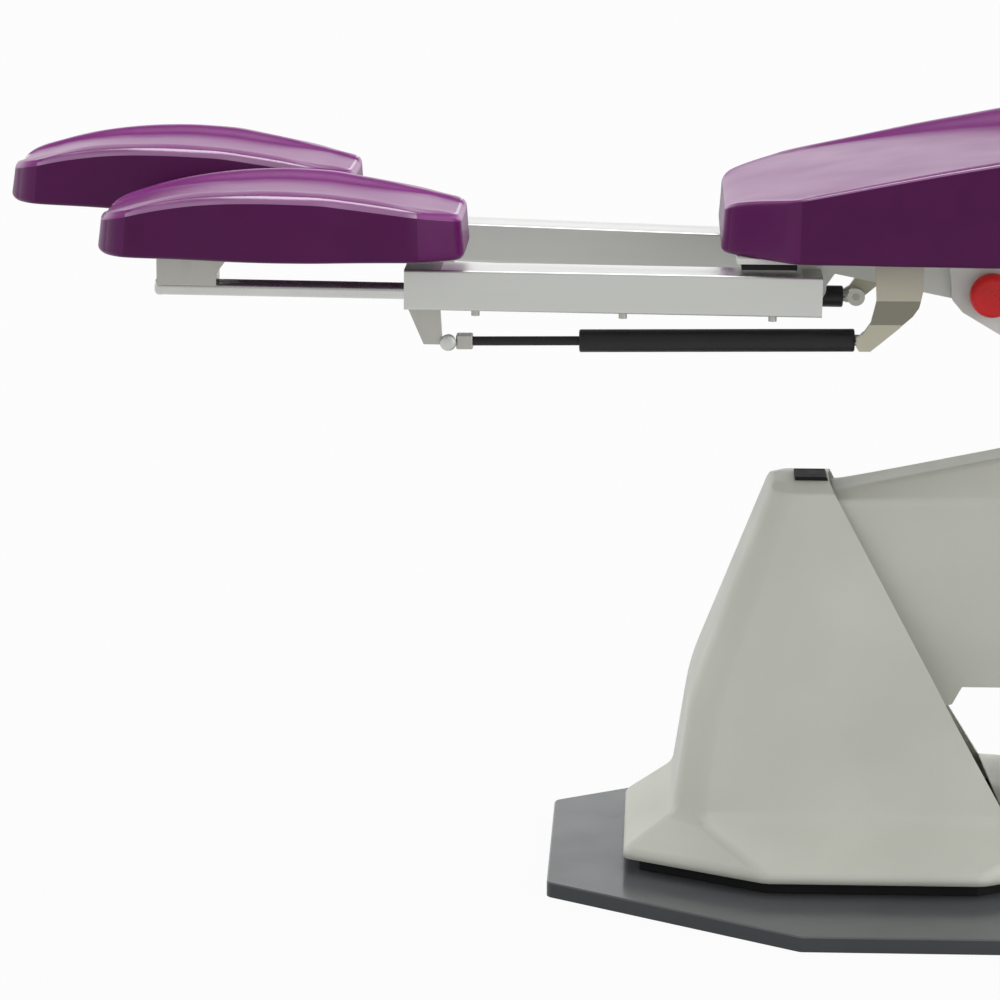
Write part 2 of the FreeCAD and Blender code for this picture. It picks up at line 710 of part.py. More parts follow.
def carriage_cover():
    slot_half = CARRIAGE_INNER + CARRIAGE_PLATE + 4
    mouth = box(CARRIAGE_MOUTH, CARRIAGE_REAR, -slot_half, slot_half, CARRIAGE_FLOOR - 5, CARRIAGE_FLOOR + 10)
    window = box(CARRIAGE_REAR - 10, CARRIAGE_REAR, -CARRIAGE_INNER, CARRIAGE_INNER,
                 CARRIAGE_FLOOR, SEAT_Z - SEAT_PLATE - 5)
    side = -CARRIAGE_WIDE_HALF
    stop_hole = cross_pin(V(STOP_X, 0, STOP_Z), STOP_STEM_R + 1, side, side + SHEET)
    slots = both_sides(web(WEB_ROOM))
    return carriage_shape(0).cut([carriage_shape(SHEET), mouth, window, stop_hole] + slots)


def stop_collar():
    at = V(STOP_X, 0, STOP_Z)
    back = -CARRIAGE_WIDE_HALF
    front = back - STOP_COLLAR_THICK
    ring = cross_pin(at, STOP_COLLAR_R, front, back)
    return ring.cut(cross_pin(at, STOP_STEM_R + RUN, front, back))


def stop_button():
    at = V(STOP_X, 0, STOP_Z)
    back = -CARRIAGE_WIDE_HALF - STOP_COLLAR_THICK - STOP_TRAVEL - 1
    cap = cross_pin(at, STOP_R, back - STOP_CAP, back)
    rim = [e for e in cap.Edges if abs(e.BoundBox.YMax - back + STOP_CAP) < 0.1]
    cap = cap.makeFillet(STOP_CAP * 0.7, rim)
    return joined(cap, cross_pin(at, STOP_STEM_R, back, -CARRIAGE_WIDE_HALF + SHEET + 2))


# Seat

def web(grow):
    top = SEAT_Z - SEAT_PLATE
    root = top + SEAT_PLATE / 2
    outline = [(min(x, SEAT_PLATE_REAR), top - depth - grow) for x, depth in WEB_ROWS]
    outline += [(SEAT_PLATE_REAR, root), (WEB_ROWS[0][0], root)]
    return side_prism(outline, WEB_INNER - grow, WEB_INNER + WEB_PLATE + grow)


def seat_frame():
    top = SEAT_Z - SEAT_PLATE
    plate = box(SEAT_PLATE_FRONT, SEAT_PLATE_REAR, -SEAT_PLATE_HALF, SEAT_PLATE_HALF, top, SEAT_Z)
    lug = cross_pin(LEG_PIVOT, 2.2 * LEG_SHAFT_R, WEB_INNER, WEB_INNER + WEB_PLATE)
    front = LEG_PIVOT.x - LEG_LUG_HALF
    root = [(front, top), (front, LEG_PIVOT.z), (LEG_PIVOT.x + LEG_LUG_HALF, LEG_PIVOT.z),
            (LEG_PIVOT.x + LEG_LUG_FOOT, top)]
    lug_root = side_prism(root, WEB_INNER, WEB_INNER + WEB_PLATE)
    lug_front = V(BACK_PIVOT.x - BACK_LUG_REACH, 0, BACK_PIVOT.z)
    back_lug = strap(lug_front, BACK_PIVOT, BACK_LUG_R - 2, BACK_LUG_INNER, BACK_LUG_INNER + BACK_LUG)
    back_root = box(BACK_PIVOT.x - BACK_ROOT_REACH, SEAT_PLATE_REAR, WEB_INNER, BACK_LUG_INNER + BACK_LUG,
                    BACK_PIVOT.z - BACK_ROOT_DROP, top)
    sides = []
    for piece in (web(0), lug, lug_root, back_lug, back_root):
        sides += both_sides(piece)
    frame = joined(plate, *sides)
    return frame.cut([leg_shaft(), back_shaft()])


def leg_shaft():
    return cross_pin(LEG_PIVOT, LEG_SHAFT_R, -LEG_SHAFT_REACH, LEG_SHAFT_REACH)


def back_shaft():
    return cross_pin(BACK_PIVOT, BACK_SHAFT_R, -BACK_SHAFT_REACH, BACK_SHAFT_REACH)


def leg_bumpers():
    top = SEAT_Z - SEAT_PLATE
    pad = box(BUMPER_FRONT, BUMPER_REAR, LEG_Y - BUMPER_HALF, LEG_Y + BUMPER_HALF, top - BUMPER_THICK, top)
    return both_sides(pad)


def spring_hooks():
    top = SEAT_Z - SOFT_GAP
    x = SPRING_HOOK.x
    z = SPRING_HOOK.z
    outline = [(x + 4, top), (x + 55, top), (x + 55, z + 60), (x + 51, z + 40), (x + 45, z + 30),
               (x + 31, z + 16), (x + 12, z), (x + 1, z - 9), (x - 11, z - 9), (x - 14, z - 4),
               (x - 14, z + 6), (x - 7, z + 10), (x + 1, z + 22), (x + 6, z + 48)]
    inner = LEG_Y - SPRING_EYE_HALF - HOOK_SIDE_GAP
    rail = -SEAT_PLATE_HALF
    bend = [(inner, z - SPRING_R - SPRING_EYE_R), (inner, z + HOOK_KNEE), (rail, z + HOOK_FOLD), (rail, top)]
    bend += [(y - HOOK_PLATE, height) for y, height in reversed(bend)]
    plate = side_prism(outline, rail - HOOK_PLATE, inner).common(end_prism(bend, x - 30, x + 60))
    pin = cross_pin(SPRING_HOOK, SPRING_PIN_R, inner - HOOK_PLATE, LEG_Y + SPRING_EYE_HALF + 1)
    return both_sides(joined(plate, pin))


def soft_edge_section(place, half, low, wall_top, lip, dish, brim, tuck=8.0):
    # cross-section of a pad: tucked bottom edges, drawn-in sides, raised lips and a hollow between them
    crest = wall_top + lip
    bottom = half - tuck
    a = place(-bottom, low)
    b = place(-half, low + 1.6 * tuck)
    c = place(tuck * 0.3 - half, wall_top)
    d = place(brim - half, crest)
    e = place(half - brim, crest)
    f = place(half - tuck * 0.3, wall_top)
    g = place(half, low + 1.6 * tuck)
    h = place(bottom, low)
    edges = [Part.LineSegment(h, a), Part.Arc(a, place(0.35 * tuck - half, low + 0.45 * tuck), b),
             Part.LineSegment(b, c), Part.Arc(c, place(0.4 * brim - half, wall_top + 0.8 * lip), d),
             Part.Arc(d, place(0, crest - dish), e),
             Part.Arc(e, place(half - 0.4 * brim, wall_top + 0.8 * lip), f),
             Part.LineSegment(f, g), Part.Arc(g, place(half - 0.35 * tuck, low + 0.45 * tuck), h)]
    return Part.Wire([edge.toShape() for edge in edges])


def pad_loft(rows, low, place_at, brim=24.0):
    # brim: distance from the side to the lip's crest
    wires = []
    for along, half, wall_top, lip, dish in rows:
        wires.append(soft_edge_section(place_at(along), half, low, wall_top, lip, dish, brim))
    return loft(wires)


# distance from the front, half width, height of the side wall's top above the seat board, lip, hollow
SEAT_ROWS = [(0.0, 128.0, 44.0, 1.5, 1.0), (16.0, 148.0, 54.0, 2.0, 1.5), (78.0, 213.0, 67.0, 2.0, 2.5),
             (276.0, 227.0, 105.5, 3.5, 13.0), (400.0, 232.0, 123.0, 5.5, 24.0),
             (480.0, 231.0, 127.0, 6.5, 28.0), (505.5, 216.0, 117.0, 5.5, 23.0)]


def seat_cushion():
    def place_at(along):
        return lambda y, z: V(SEAT_FRONT + along, y, z)
    rows = [(along, half, SEAT_Z + top, lip, dish) for along, half, top, lip, dish in SEAT_ROWS]
    return pad_loft(rows, SEAT_Z, place_at).cut(seat_board_block(SOFT_GAP))


def seat_board_block(grow):
    front = SEAT_FRONT + SEAT_BOARD_MARGIN
    rear = SEAT_REAR - SEAT_BOARD_MARGIN
    half = SEAT_ROWS[2][1] - SEAT_BOARD_MARGIN
    cut = SEAT_BOARD_MARGIN
    outline = octagon(front - grow, rear + grow, half + grow, cut, cut)
    return plan_prism(outline, SEAT_Z, SEAT_Z + BOARD + grow)


# Backrest, drawn upright about its pivot and then leaned back

def leaned(shape):
    out = shape.copy()
    out.rotate(BACK_PIVOT, V(0, 1, 0), BACK_LEAN)
    return out


def back_box(depth0, depth1, y0, y1, height0, height1):
    p = BACK_PIVOT
    return box(p.x - depth1, p.x - depth0, y0, y1, p.z + height0, p.z + height1)


def head_rods():
    p = BACK_PIVOT
    x = p.x - HEAD_ROD_DEPTH
    rods = []
    for y in (-HEAD_ROD_Y, HEAD_ROD_Y):
        rods.append(rod(V(x, y, p.z + HEAD_ROD_LOW), V(x, y, p.z + HEAD_ROD_TOP), HEAD_ROD_R))
    return rods


def crank_plate():
    tip = BACK_PIVOT + V(CRANK_X, 0, -CRANK_R)
    inward = BACK_PIVOT - tip
    inward.normalize()
    slot_end = tip + inward * CRANK_SLOT
    y0 = CRANK_INNER
    y1 = CRANK_INNER + CRANK_PLATE
    plate = strap(BACK_PIVOT, tip, CRANK_SLOT_HALF + 8, y0, y1)
    return plate.cut(strap(tip, slot_end, CRANK_SLOT_HALF, y0, y1))


def back_frame():
    hub = cross_pin(BACK_PIVOT, BACK_HUB_R, -BACK_HUB_HALF, BACK_HUB_HALF)
    rail = back_box(RAIL_BACK, RAIL_FRONT, RAIL_INNER, RAIL_INNER + RAIL_WIDTH, 0, RAIL_TOP)
    cross = back_box(RAIL_BACK, RAIL_FRONT, -RAIL_INNER, RAIL_INNER, RAIL_TOP - CROSS_DEPTH, RAIL_TOP)
    low_cross = back_box(RAIL_BACK, RAIL_FRONT, -RAIL_INNER, RAIL_INNER,
                         LOW_CROSS, LOW_CROSS + LOW_CROSS_DEPTH)
    guides = []
    for bar in head_rods():
        centre = bar.CenterOfMass
        guides.append(Part.makeCylinder(HEAD_ROD_R + RUN, RAIL_TOP, V(centre.x, centre.y, BACK_PIVOT.z)))
    upright = joined(cross, low_cross, *both_sides(rail))
    upright = leaned(upright.cut(guides))
    frame = joined(hub, upright, *both_sides(crank_plate()))
    return frame.cut(cross_pin(BACK_PIVOT, BACK_SHAFT_R + RUN, -BACK_HUB_HALF, BACK_HUB_HALF))


def back_board_block(grow):
    return back_box(RAIL_FRONT, RAIL_FRONT + BOARD + grow, BACK_MARGIN - BACK_HALF_TOP - grow,
                    BACK_HALF_TOP - BACK_MARGIN + grow, BACK_BOTTOM + BACK_MARGIN - grow,
                    BACK_BOTTOM + BACK_LENGTH - BACK_MARGIN + grow)


def back_board():
    return leaned(back_board_block(0))


# share of the length, share of the way from low to top half width, face depth left off, lip, hollow
BACK_ROWS = [(0.0, 0.4, 34.0, 6.0, 3.0), (0.03, 0.1, 22.0, 8.0, 6.0), (0.12, 0.0, 14.0, 9.0, 14.0),
             (0.45, 0.25, 12.0, 10.0, 22.0), (0.8, 0.75, 12.0, 10.0, 14.0), (0.97, 1.1, 22.0, 8.0, 6.0),
             (1.0, 1.5, 34.0, 6.0, 3.0)]


def back_cushion():
    def place_at(along):
        return lambda y, depth: V(BACK_PIVOT.x - depth, y, BACK_PIVOT.z + BACK_BOTTOM + along)
    rows = []
    for share, narrowing, drop, lip, dish in BACK_ROWS:
        half = BACK_HALF_LOW + narrowing * (BACK_HALF_TOP - BACK_HALF_LOW)
        rows.append((share * BACK_LENGTH, half, BACK_FACE - drop, lip, dish))
    return leaned(pad_loft(rows, RAIL_FRONT + SOFT_GAP, place_at).cut(back_board_block(SOFT_GAP)))


HEAD_ROWS = [(0.0, 0.88, 20.0, 6.0, 2.0), (0.08, 0.97, 10.0, 7.0, 4.0), (0.5, 1.0, 8.0, 8.0, 8.0),
             (0.92, 0.97, 10.0, 7.0, 4.0), (1.0, 0.88, 20.0, 6.0, 2.0)]


def headrest_cushion():
    def place_at(along):
        return lambda y, depth: V(BACK_PIVOT.x - depth, y, BACK_PIVOT.z + HEAD_LOW + along)
    rows = [(share * HEAD_HEIGHT, width * HEAD_HALF, HEAD_FACE - drop, lip, dish)
            for share, width, drop, lip, dish in HEAD_ROWS]
    pockets = []
    for bar in head_rods():
        centre = bar.CenterOfMass
        pockets.append(Part.makeCylinder(HEAD_ROD_R + SOFT_GAP, HEAD_ROD_TOP + SOFT_GAP,
                                         V(centre.x, centre.y, BACK_PIVOT.z)))
    return leaned(pad_loft(rows, HEAD_BACK, place_at).cut(pockets))


def headrest_rods():
    return [leaned(bar) for bar in head_rods()]


# Back actuator

def back_drive_point(distance):
    tip = BACK_PIVOT + V(CRANK_X, 0, -CRANK_R)
    along = tip - BACK_DRIVE
    along.normalize()
    return BACK_DRIVE + along * distance


def back_motor():
    half = EYE_HALF
    eye = cross_pin(BACK_DRIVE, BACK_EYE_R, -half, half)
    neck = rod(back_drive_point(0), back_drive_point(BACK_BODY_START), half - 2)
    body = rod(back_drive_point(BACK_BODY_START), back_drive_point(BACK_BODY_END), BACK_BODY_R)
    bore = rod(back_drive_point(BACK_BODY_START + 8), back_drive_point(BACK_BODY_END), BACK_ROD_R + RUN)
    return joined(body, neck, eye).cut([bore, cross_pin(BACK_DRIVE, ACTUATOR_PIN_R + RUN, -half, half)])


def back_rod():
    tip = BACK_PIVOT + V(CRANK_X, 0, -CRANK_R)
    reach = (tip - BACK_DRIVE).Length
    bar = rod(back_drive_point(BACK_ROD_START), back_drive_point(reach), BACK_ROD_R)
    eye = cross_pin(tip, BACK_EYE_R, 2 - CRANK_INNER, CRANK_INNER - 2)
    pin = cross_pin(tip, CRANK_PIN_R, -CRANK_PIN_REACH, CRANK_PIN_REACH)
    return joined(bar, eye, pin)


# Armrests, drawn on the far side

def armrest_post():
    x0 = ARMREST_PIVOT.x - POST_HALF
    x1 = ARMREST_PIVOT.x + POST_HALF
    lug_inner = POST_OUTER - ARM_LUG
    arm = box(x0 - 30, SEAT_PLATE_REAR, WEB_INNER + WEB_PLATE, POST_OUTER, POST_FLOOR - POST_ARM, POST_FLOOR)
    lug_room = box(x0 - 31, SEAT_PLATE_REAR + 1, WEB_INNER, BACK_LUG_INNER + BACK_LUG,
                   BACK_PIVOT.z - 25, SEAT_Z)
    arm = arm.cut(lug_room)
    post = box(x0, x1, POST_INNER, POST_OUTER, POST_FLOOR - POST_ARM, ARMREST_PIVOT.z - BEAM_UP - 10)
    lug = box(x0 + 1, x1 - 1, lug_inner, POST_OUTER, POST_FLOOR, ARMREST_PIVOT.z)
    ear = cross_pin(ARMREST_PIVOT, ARM_LUG_R, lug_inner, POST_OUTER)
    pin = cross_pin(ARMREST_PIVOT, ARM_PIN_R, POST_INNER - 6, POST_OUTER)
    return joined(post, arm, lug, ear, pin)


def armrest_beam():
    p = ARMREST_PIVOT
    y0 = POST_INNER - 6
    y1 = POST_OUTER - ARM_LUG - SOFT_GAP
    bar = box(p.x + BEAM_FRONT, p.x, y0, y1, p.z - BEAM_DOWN, p.z + BEAM_UP)
    end = cross_pin(p, BEAM_DOWN, y0, y1)
    tail = box(p.x, p.x + BEAM_DOWN, y0, y1, p.z, p.z + BEAM_UP)
    return joined(bar, end, tail).cut(cross_pin(p, ARM_PIN_R + RUN, y0, y1))


ARMPAD_ROWS = [(0.0, 0.75, 10.0, 4.0, 1.0), (0.06, 0.95, 4.0, 5.0, 1.0), (0.5, 1.0, 2.0, 5.0, 2.0),
               (0.94, 0.95, 4.0, 5.0, 1.0), (1.0, 0.75, 10.0, 4.0, 1.0)]
ARMPAD_LIP = 6.0


def armrest_pad():
    p = ARMREST_PIVOT
    low = p.z + BEAM_UP + SOFT_GAP
    middle = (POST_INNER + POST_OUTER) / 2

    def place_at(along):
        return lambda y, z: V(p.x + ARMPAD_FRONT + along, middle + y, z)
    length = ARMPAD_REAR - ARMPAD_FRONT
    face = low + ARMPAD_THICK - ARMPAD_LIP
    rows = [(share * length, width * ARMPAD_HALF, face - drop, lip, dish)
            for share, width, drop, lip, dish in ARMPAD_ROWS]
    return pad_loft(rows, low, place_at)


# Leg rests, drawn level on the near side about the leg pivot, then mirrored, drawn out and pitched

def leg_box(x0, x1, half_y, z0, z1):
    p = LEG_PIVOT
    return box(p.x + x0, p.x + x1, LEG_Y - half_y, LEG_Y + half_y, p.z + z0, p.z + z1)


def leg_point(x, z):
    return V(LEG_PIVOT.x + x, LEG_Y, LEG_PIVOT.z + z)


def long_edges(shape):
    return [e for e in shape.Edges if abs(e.Vertexes[0].X - e.Vertexes[-1].X) > 5]


def leg_screw_shapes():
    screws = []
    for x in SCREW_PLACES:
        low = leg_point(x, -TUBE_HALF_HEIGHT) - V(0, SCREW_SIDE, 0)
        head = Part.makeCylinder(SCREW_HEAD_R, SCREW_HEAD, low - V(0, 0, SCREW_HEAD))
        screws.append(joined(head, Part.makeCylinder(SCREW_R, TUBE_WALL, low)))
    return screws


def leg_tube():
    outer = leg_box(TUBE_FRONT, TUBE_REAR, TUBE_HALF_WIDTH, -TUBE_HALF_HEIGHT, TUBE_HALF_HEIGHT)
    outer = outer.makeFillet(TUBE_RADIUS, long_edges(outer))
    room = TUBE_HALF_HEIGHT - TUBE_WALL
    inner = leg_box(TUBE_FRONT, TUBE_REAR, TUBE_HALF_WIDTH - TUBE_WALL, -room, room)
    return outer.cut([inner] + leg_screw_shapes())


def leg_hinge_block():
    block = leg_box(TUBE_REAR, HINGE_BLOCK_REAR, TUBE_HALF_WIDTH, -TUBE_HALF_HEIGHT, TUBE_HALF_HEIGHT)
    block = block.makeFillet(TUBE_RADIUS, long_edges(block))
    inside = TUBE_WALL + SPIGOT_CLEAR
    room = TUBE_HALF_HEIGHT - inside
    spigot = leg_box(TUBE_REAR - SPIGOT, TUBE_REAR, TUBE_HALF_WIDTH - inside, -room, room)
    bore = cross_pin(LEG_PIVOT, LEG_SHAFT_R + RUN, -LEG_SHAFT_REACH - 0.5, 0)
    return joined(block, spigot).cut(bore)


def leg_bracket():
    block = leg_box(BLOCK_FRONT, TUBE_FRONT, TUBE_HALF_WIDTH, -TUBE_HALF_HEIGHT, TUBE_HALF_HEIGHT)
    block = block.makeFillet(TUBE_RADIUS, long_edges(block))
    p = LEG_PIVOT
    right = p.x + SPRING_BALL.x - BALL_R + 1
    floor = p.z + SPRING_BALL.z
    left = p.x + BLOCK_FRONT
    under = p.z - TUBE_HALF_HEIGHT
    root = under + TAB_ROOT
    outline = [(left, root), (left, under + 4), (left + 20, floor - 3), (right, floor - 3),
               (right - 3, under), (right - 3, root)]
    tab = side_prism(outline, LEG_Y - TAB_HALF, LEG_Y + TAB_HALF)
    ball = Part.makeSphere(BALL_R, V(p.x + SPRING_BALL.x, LEG_Y, floor))
    bore = rod(leg_point(BLOCK_FRONT - 1, -BAR_DROP), leg_point(TUBE_FRONT + 1, -BAR_DROP), BAR_R + RUN)
    return joined(block, tab, ball).cut(bore)


def slide_bar():
    return rod(leg_point(BAR_END, -BAR_DROP), leg_point(BAR_END + BAR_LENGTH, -BAR_DROP), BAR_R)


def foot_bracket():
    p = LEG_PIVOT
    low = p.z - BAR_DROP - BAR_R - 2
    outline = [(p.x + FOOT_BRACKET_FRONT, p.z + PAD_Z), (p.x + FOOT_BRACKET_REAR, p.z + PAD_Z),
               (p.x + FOOT_BRACKET_WAIST, p.z + PAD_Z - 25), (p.x + FOOT_BRACKET_WAIST, low),
               (p.x + FOOT_BRACKET_FRONT, low)]
    return side_prism(outline, LEG_Y - FOOT_BRACKET_HALF, LEG_Y + FOOT_BRACKET_HALF).cut(slide_bar())


def pad_board_block(grow):
    x0 = LEG_PIVOT.x + PAD_START + PAD_BOARD_MARGIN - grow
    x1 = LEG_PIVOT.x + PAD_START + PAD_LENGTH - PAD_BOARD_MARGIN + grow
    half = PAD_HALF - PAD_BOARD_MARGIN + grow
    cut = PAD_BOARD_MARGIN
    outline = [(x, y + LEG_Y + PAD_SHIFT) for x, y in octagon(x0, x1, half, cut, cut)]
    return plan_prism(outline, LEG_PIVOT.z + PAD_Z, LEG_PIVOT.z + PAD_Z + BOARD + grow)


def pad_board():
    return pad_board_block(0)


# distance from the outer end, half width, height of the side wall above the pad's underside, lip, hollow
PAD_ROWS = [(0.0, 34.0, 35.0, 1.2, 1.0), (4.0, 57.0, 38.5, 1.2, 1.5), (12.0, 78.0, 42.0, 1.2, 3.0),
            (24.0, 92.0, 46.0, 1.2, 4.0), (38.0, 100.0, 50.0, 1.2, 5.0), (60.0, 102.5, 56.5, 1.2, 6.0),
            (90.0, 104.5, 63.0, 1.2, 7.0), (120.0, 110.0, 67.5, 1.2, 8.0), (150.0, 116.0, 70.0, 1.2, 9.0),
            (190.0, 119.0, 71.5, 1.2, 9.0), (235.0, 117.0, 70.0, 1.2, 9.0), (275.0, 109.0, 65.0, 1.2, 8.0),
            (310.0, 104.0, 59.5, 1.2, 6.0), (343.0, 101.0, 54.0, 1.2, 4.0), (391.0, 70.0, 46.5, 1.2, 1.5)]
PAD_BRIM = 30.0


def leg_cushion():
    p = LEG_PIVOT
    low = p.z + PAD_Z

    def place_at(along):
        return lambda y, z: V(p.x + PAD_START + along, LEG_Y + PAD_SHIFT + y, z)
    rows = [(along, half, low + top, lip, dish) for along, half, top, lip, dish in PAD_ROWS]
    return pad_loft(rows, low, place_at, PAD_BRIM).cut(pad_board_block(SOFT_GAP))


def pitched(shape, pitch):
    out = shape.copy()
    out.rotate(LEG_PIVOT, V(0, 1, 0), pitch)
    return out


def spring_ball(pitch):
    turn = FreeCAD.Rotation(V(0, 1, 0), pitch)
    return LEG_PIVOT + turn.multVec(SPRING_BALL)


def spring_line(pitch):
    along = spring_ball(pitch) - SPRING_HOOK
    along.normalize()
    side = V(0, LEG_Y, 0)
    return lambda distance: SPRING_HOOK + side + along * distance


def gas_cylinder(pitch):
    at = spring_line(pitch)
    body = rod(at(SPRING_REAR), at(SPRING_FRONT), SPRING_R)
    rims = [e for e in body.Edges if len(e.Vertexes) == 1 and e.Length > SPRING_R]
    body = body.makeFillet(2, rims)
    eye = cross_pin(SPRING_HOOK, SPRING_EYE_R, LEG_Y - SPRING_EYE_HALF, LEG_Y + SPRING_EYE_HALF)
    neck = rod(at(2), at(SPRING_REAR + 4), SPRING_EYE_HALF)
    bore = rod(at(SPRING_REAR + 20), at(SPRING_FRONT + 1), SPRING_ROD_R + RUN)
    pin = cross_pin(SPRING_HOOK, SPRING_PIN_R + RUN, LEG_Y - SPRING_EYE_HALF, LEG_Y + SPRING_EYE_HALF)
    return joined(body, neck, eye).cut([bore, pin])


def gas_rod(pitch):
    at = spring_line(pitch)
    reach = (spring_ball(pitch) - SPRING_HOOK).Length
    socket_front = reach - BALL_R - SOCKET_GAP
    socket_rear = socket_front - SOCKET_LENGTH
    bar = rod(at(SPRING_ROD_TAIL), at(socket_rear + 2), SPRING_ROD_R)
    socket = box(socket_rear, socket_front, -SOCKET_HALF, SOCKET_HALF, -SOCKET_HALF, SOCKET_HALF)
    socket = socket.makeFillet(2, socket.Edges)
    turn = FreeCAD.Rotation(V(1, 0, 0), at(1) - at(0))
    socket.Placement = FreeCAD.Placement(at(0), turn)
    return joined(bar, socket)


def place_leg(shape, side, extension):
    out = shape.copy()
    out.translate(V(-extension, 0, 0))
    if side == "far":
        out = mirrored(out)
    return pitched(out, LEG_PITCH_NEAR if side == "near" else LEG_PITCH_FAR)


def save_leg(side):
    fixed = {"leg_tube": leg_tube(), "leg_hinge_block": leg_hinge_block(), "leg_bracket": leg_bracket(),
             "leg_screws": leg_screw_shapes()}
    sliding = {"slide_bar": slide_bar(), "foot_bracket": foot_bracket(), "pad_board": pad_board(),
               "leg_cushion": leg_cushion()}
    for name, shape in fixed.items():
        solids = shape if isinstance(shape, list) else [shape]
        save("%s_%s" % (name, side), [place_leg(solid, side, 0) for solid in solids])
    extension = FAR_EXTENSION if side == "far" else 0
    for name, shape in sliding.items():
        save("%s_%s" % (name, side), place_leg(shape, side, extension))
    pitch = LEG_PITCH_NEAR if side == "near" else LEG_PITCH_FAR
    for name, shape in (("gas_cylinder", gas_cylinder(pitch)), ("gas_rod", gas_rod(pitch))):
        save("%s_%s" % (name, side), mirrored(shape) if side == "far" else shape)


save("base_plate", base_plate())
save("frame_bolts", frame_bolts())
save("plinth", plinth())
save("tower_cover", tower_cover())
save("tower_insert", tower_insert())
save("rear_cover", rear_cover())
save("mains_inlet", mains_inlet())
save("control_box", control_box())
save("tower_frame", tower_frame())
save("base_pins", base_pins())
save("lift_motor", lift_motor())
save("lift_rod", lift_rod())
save("arm_frame", arm_frame())
save("arm_pin", arm_pin())
save("arm_cover", arm_cover())
save("link_bars", link_bars())
save("carriage_frame", carriage_frame())
save("carriage_pins", carriage_pins())
save("carriage_cover", carriage_cover())
save("stop_collar", stop_collar())
save("stop_button", stop_button())
save("seat_frame", seat_frame())
save("leg_shaft", leg_shaft())
save("back_shaft", back_shaft())
save("leg_bumpers", leg_bumpers())
save("spring_hooks", spring_hooks())
save("seat_board", seat_board_block(0))
save("seat_cushion", seat_cushion())
save("back_frame", back_frame())
save("back_board", back_board())
save("back_cushion", back_cushion())
save("headrest_rods", headrest_rods())
save("headrest_cushion", headrest_cushion())
save("back_motor", back_motor())
save("back_rod", back_rod())
save("armrest_posts", both_sides(armrest_post()))
save("armrest_beam_far", armrest_beam())
save("armrest_beam_near", mirrored(armrest_beam()))
save("armrest_pad_far", armrest_pad())
save("armrest_pad_near", mirrored(armrest_pad()))
for side in ("near", "far"):
    save_leg(side)
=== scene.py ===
import bisect
import json
import math

import bmesh
import bpy
import numpy as np
from mathutils import Matrix, Vector


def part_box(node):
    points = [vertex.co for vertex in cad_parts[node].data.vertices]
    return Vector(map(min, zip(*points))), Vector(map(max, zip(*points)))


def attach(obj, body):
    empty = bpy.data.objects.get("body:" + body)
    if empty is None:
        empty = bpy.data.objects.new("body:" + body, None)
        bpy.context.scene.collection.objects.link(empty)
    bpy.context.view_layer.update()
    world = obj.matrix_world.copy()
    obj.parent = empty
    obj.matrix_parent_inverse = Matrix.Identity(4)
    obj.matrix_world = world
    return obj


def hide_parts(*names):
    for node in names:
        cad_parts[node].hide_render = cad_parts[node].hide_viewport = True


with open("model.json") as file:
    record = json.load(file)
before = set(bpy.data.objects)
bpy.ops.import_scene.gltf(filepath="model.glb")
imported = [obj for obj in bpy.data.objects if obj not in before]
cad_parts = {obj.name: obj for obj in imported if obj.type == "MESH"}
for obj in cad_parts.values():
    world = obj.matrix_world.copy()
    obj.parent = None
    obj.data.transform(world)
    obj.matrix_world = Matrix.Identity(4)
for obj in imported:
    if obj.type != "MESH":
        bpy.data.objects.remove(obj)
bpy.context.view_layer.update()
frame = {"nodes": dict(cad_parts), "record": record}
nodes = frame["nodes"]

# All lengths are metres in the shared frame: +X to the head end, -Y to the camera, +Z up.
MM = 0.001

# Camera, at the photograph's place
CAMERA_AT = (-0.327, -4.0967, 1.344)
CAMERA_PITCH = 12.7712      # degrees down
CAMERA_YAW = 2.5315         # degrees towards -X
CAMERA_LENS = 135.0
CAMERA_SENSOR = 36.0

# Light: levels of the room's parts, and the lamp above
ROOM_LEVEL = 0.12
BEHIND_LEVEL = 1.12
DOME_LEVEL = 0.52
FOOT_END_LEVEL = 0.75
HEAD_END_LEVEL = 1.7
LAMP_TOWARDS = (0.0, -0.3, -1.0)
LAMP_SPREAD = 40.0          # degrees
LAMP_STRENGTH = 1.1

# Floor
FLOOR_HALF = 60.0
FLOOR_SHADE = 0.5
FLOOR_WHITE = 0.95          # how far the floor is plain white to the eye and in reflections

# Upholstery, millimetres: width of the raised lip, rounding of the top edge, and how many of the
# rounding's five strips are polished
LEG_FORM = (30.0, 6.0, 5)
SEAT_FORM = (16.0, 3.0, 3)
PAD_FORM = (24.0, 6.0, 5)
HOLLOW_RUN = 3.8            # width of the slope from the lip to the flat hollow, per unit of its depth
LOW_RADIUS = 4.5            # tucked rounding of a pad's lower edge
LEG_SWELL = 3.5             # how far a leg pad's cover bulges past each end of its foam
WALL_LEAN = 2.4             # how far a side wall leans in towards the top
TAUT_PASSES = 30            # how often a point's swell is averaged with its neighbours'
CLOTH_PRESSURE = 4.0
PLAN_RADIUS = 16.0          # rounding of the upright corners
EDGE_STEPS = (0.72, 0.42, 0.18, 0.04, 0.0)     # inset of each strip of the top edge, per unit of radius
WALL_STRIPS = 7
LOW_TURNS = (30.0, 60.0, 85.0)                 # degrees round the lower edge
UNDER_INSET = 2.0           # how far the underside starts inside the lower edge
WIDEST_BRIM = 0.6           # largest share of the half width that a lip takes
# Walls turned to the ends, and blunt ends, take their own painted-shade copies of the leather
END_TURN = 0.35             # a wall counts as an end where its normal's part along the pad is larger
FRONT_TURN = 0.8            # and as a blunt end above this

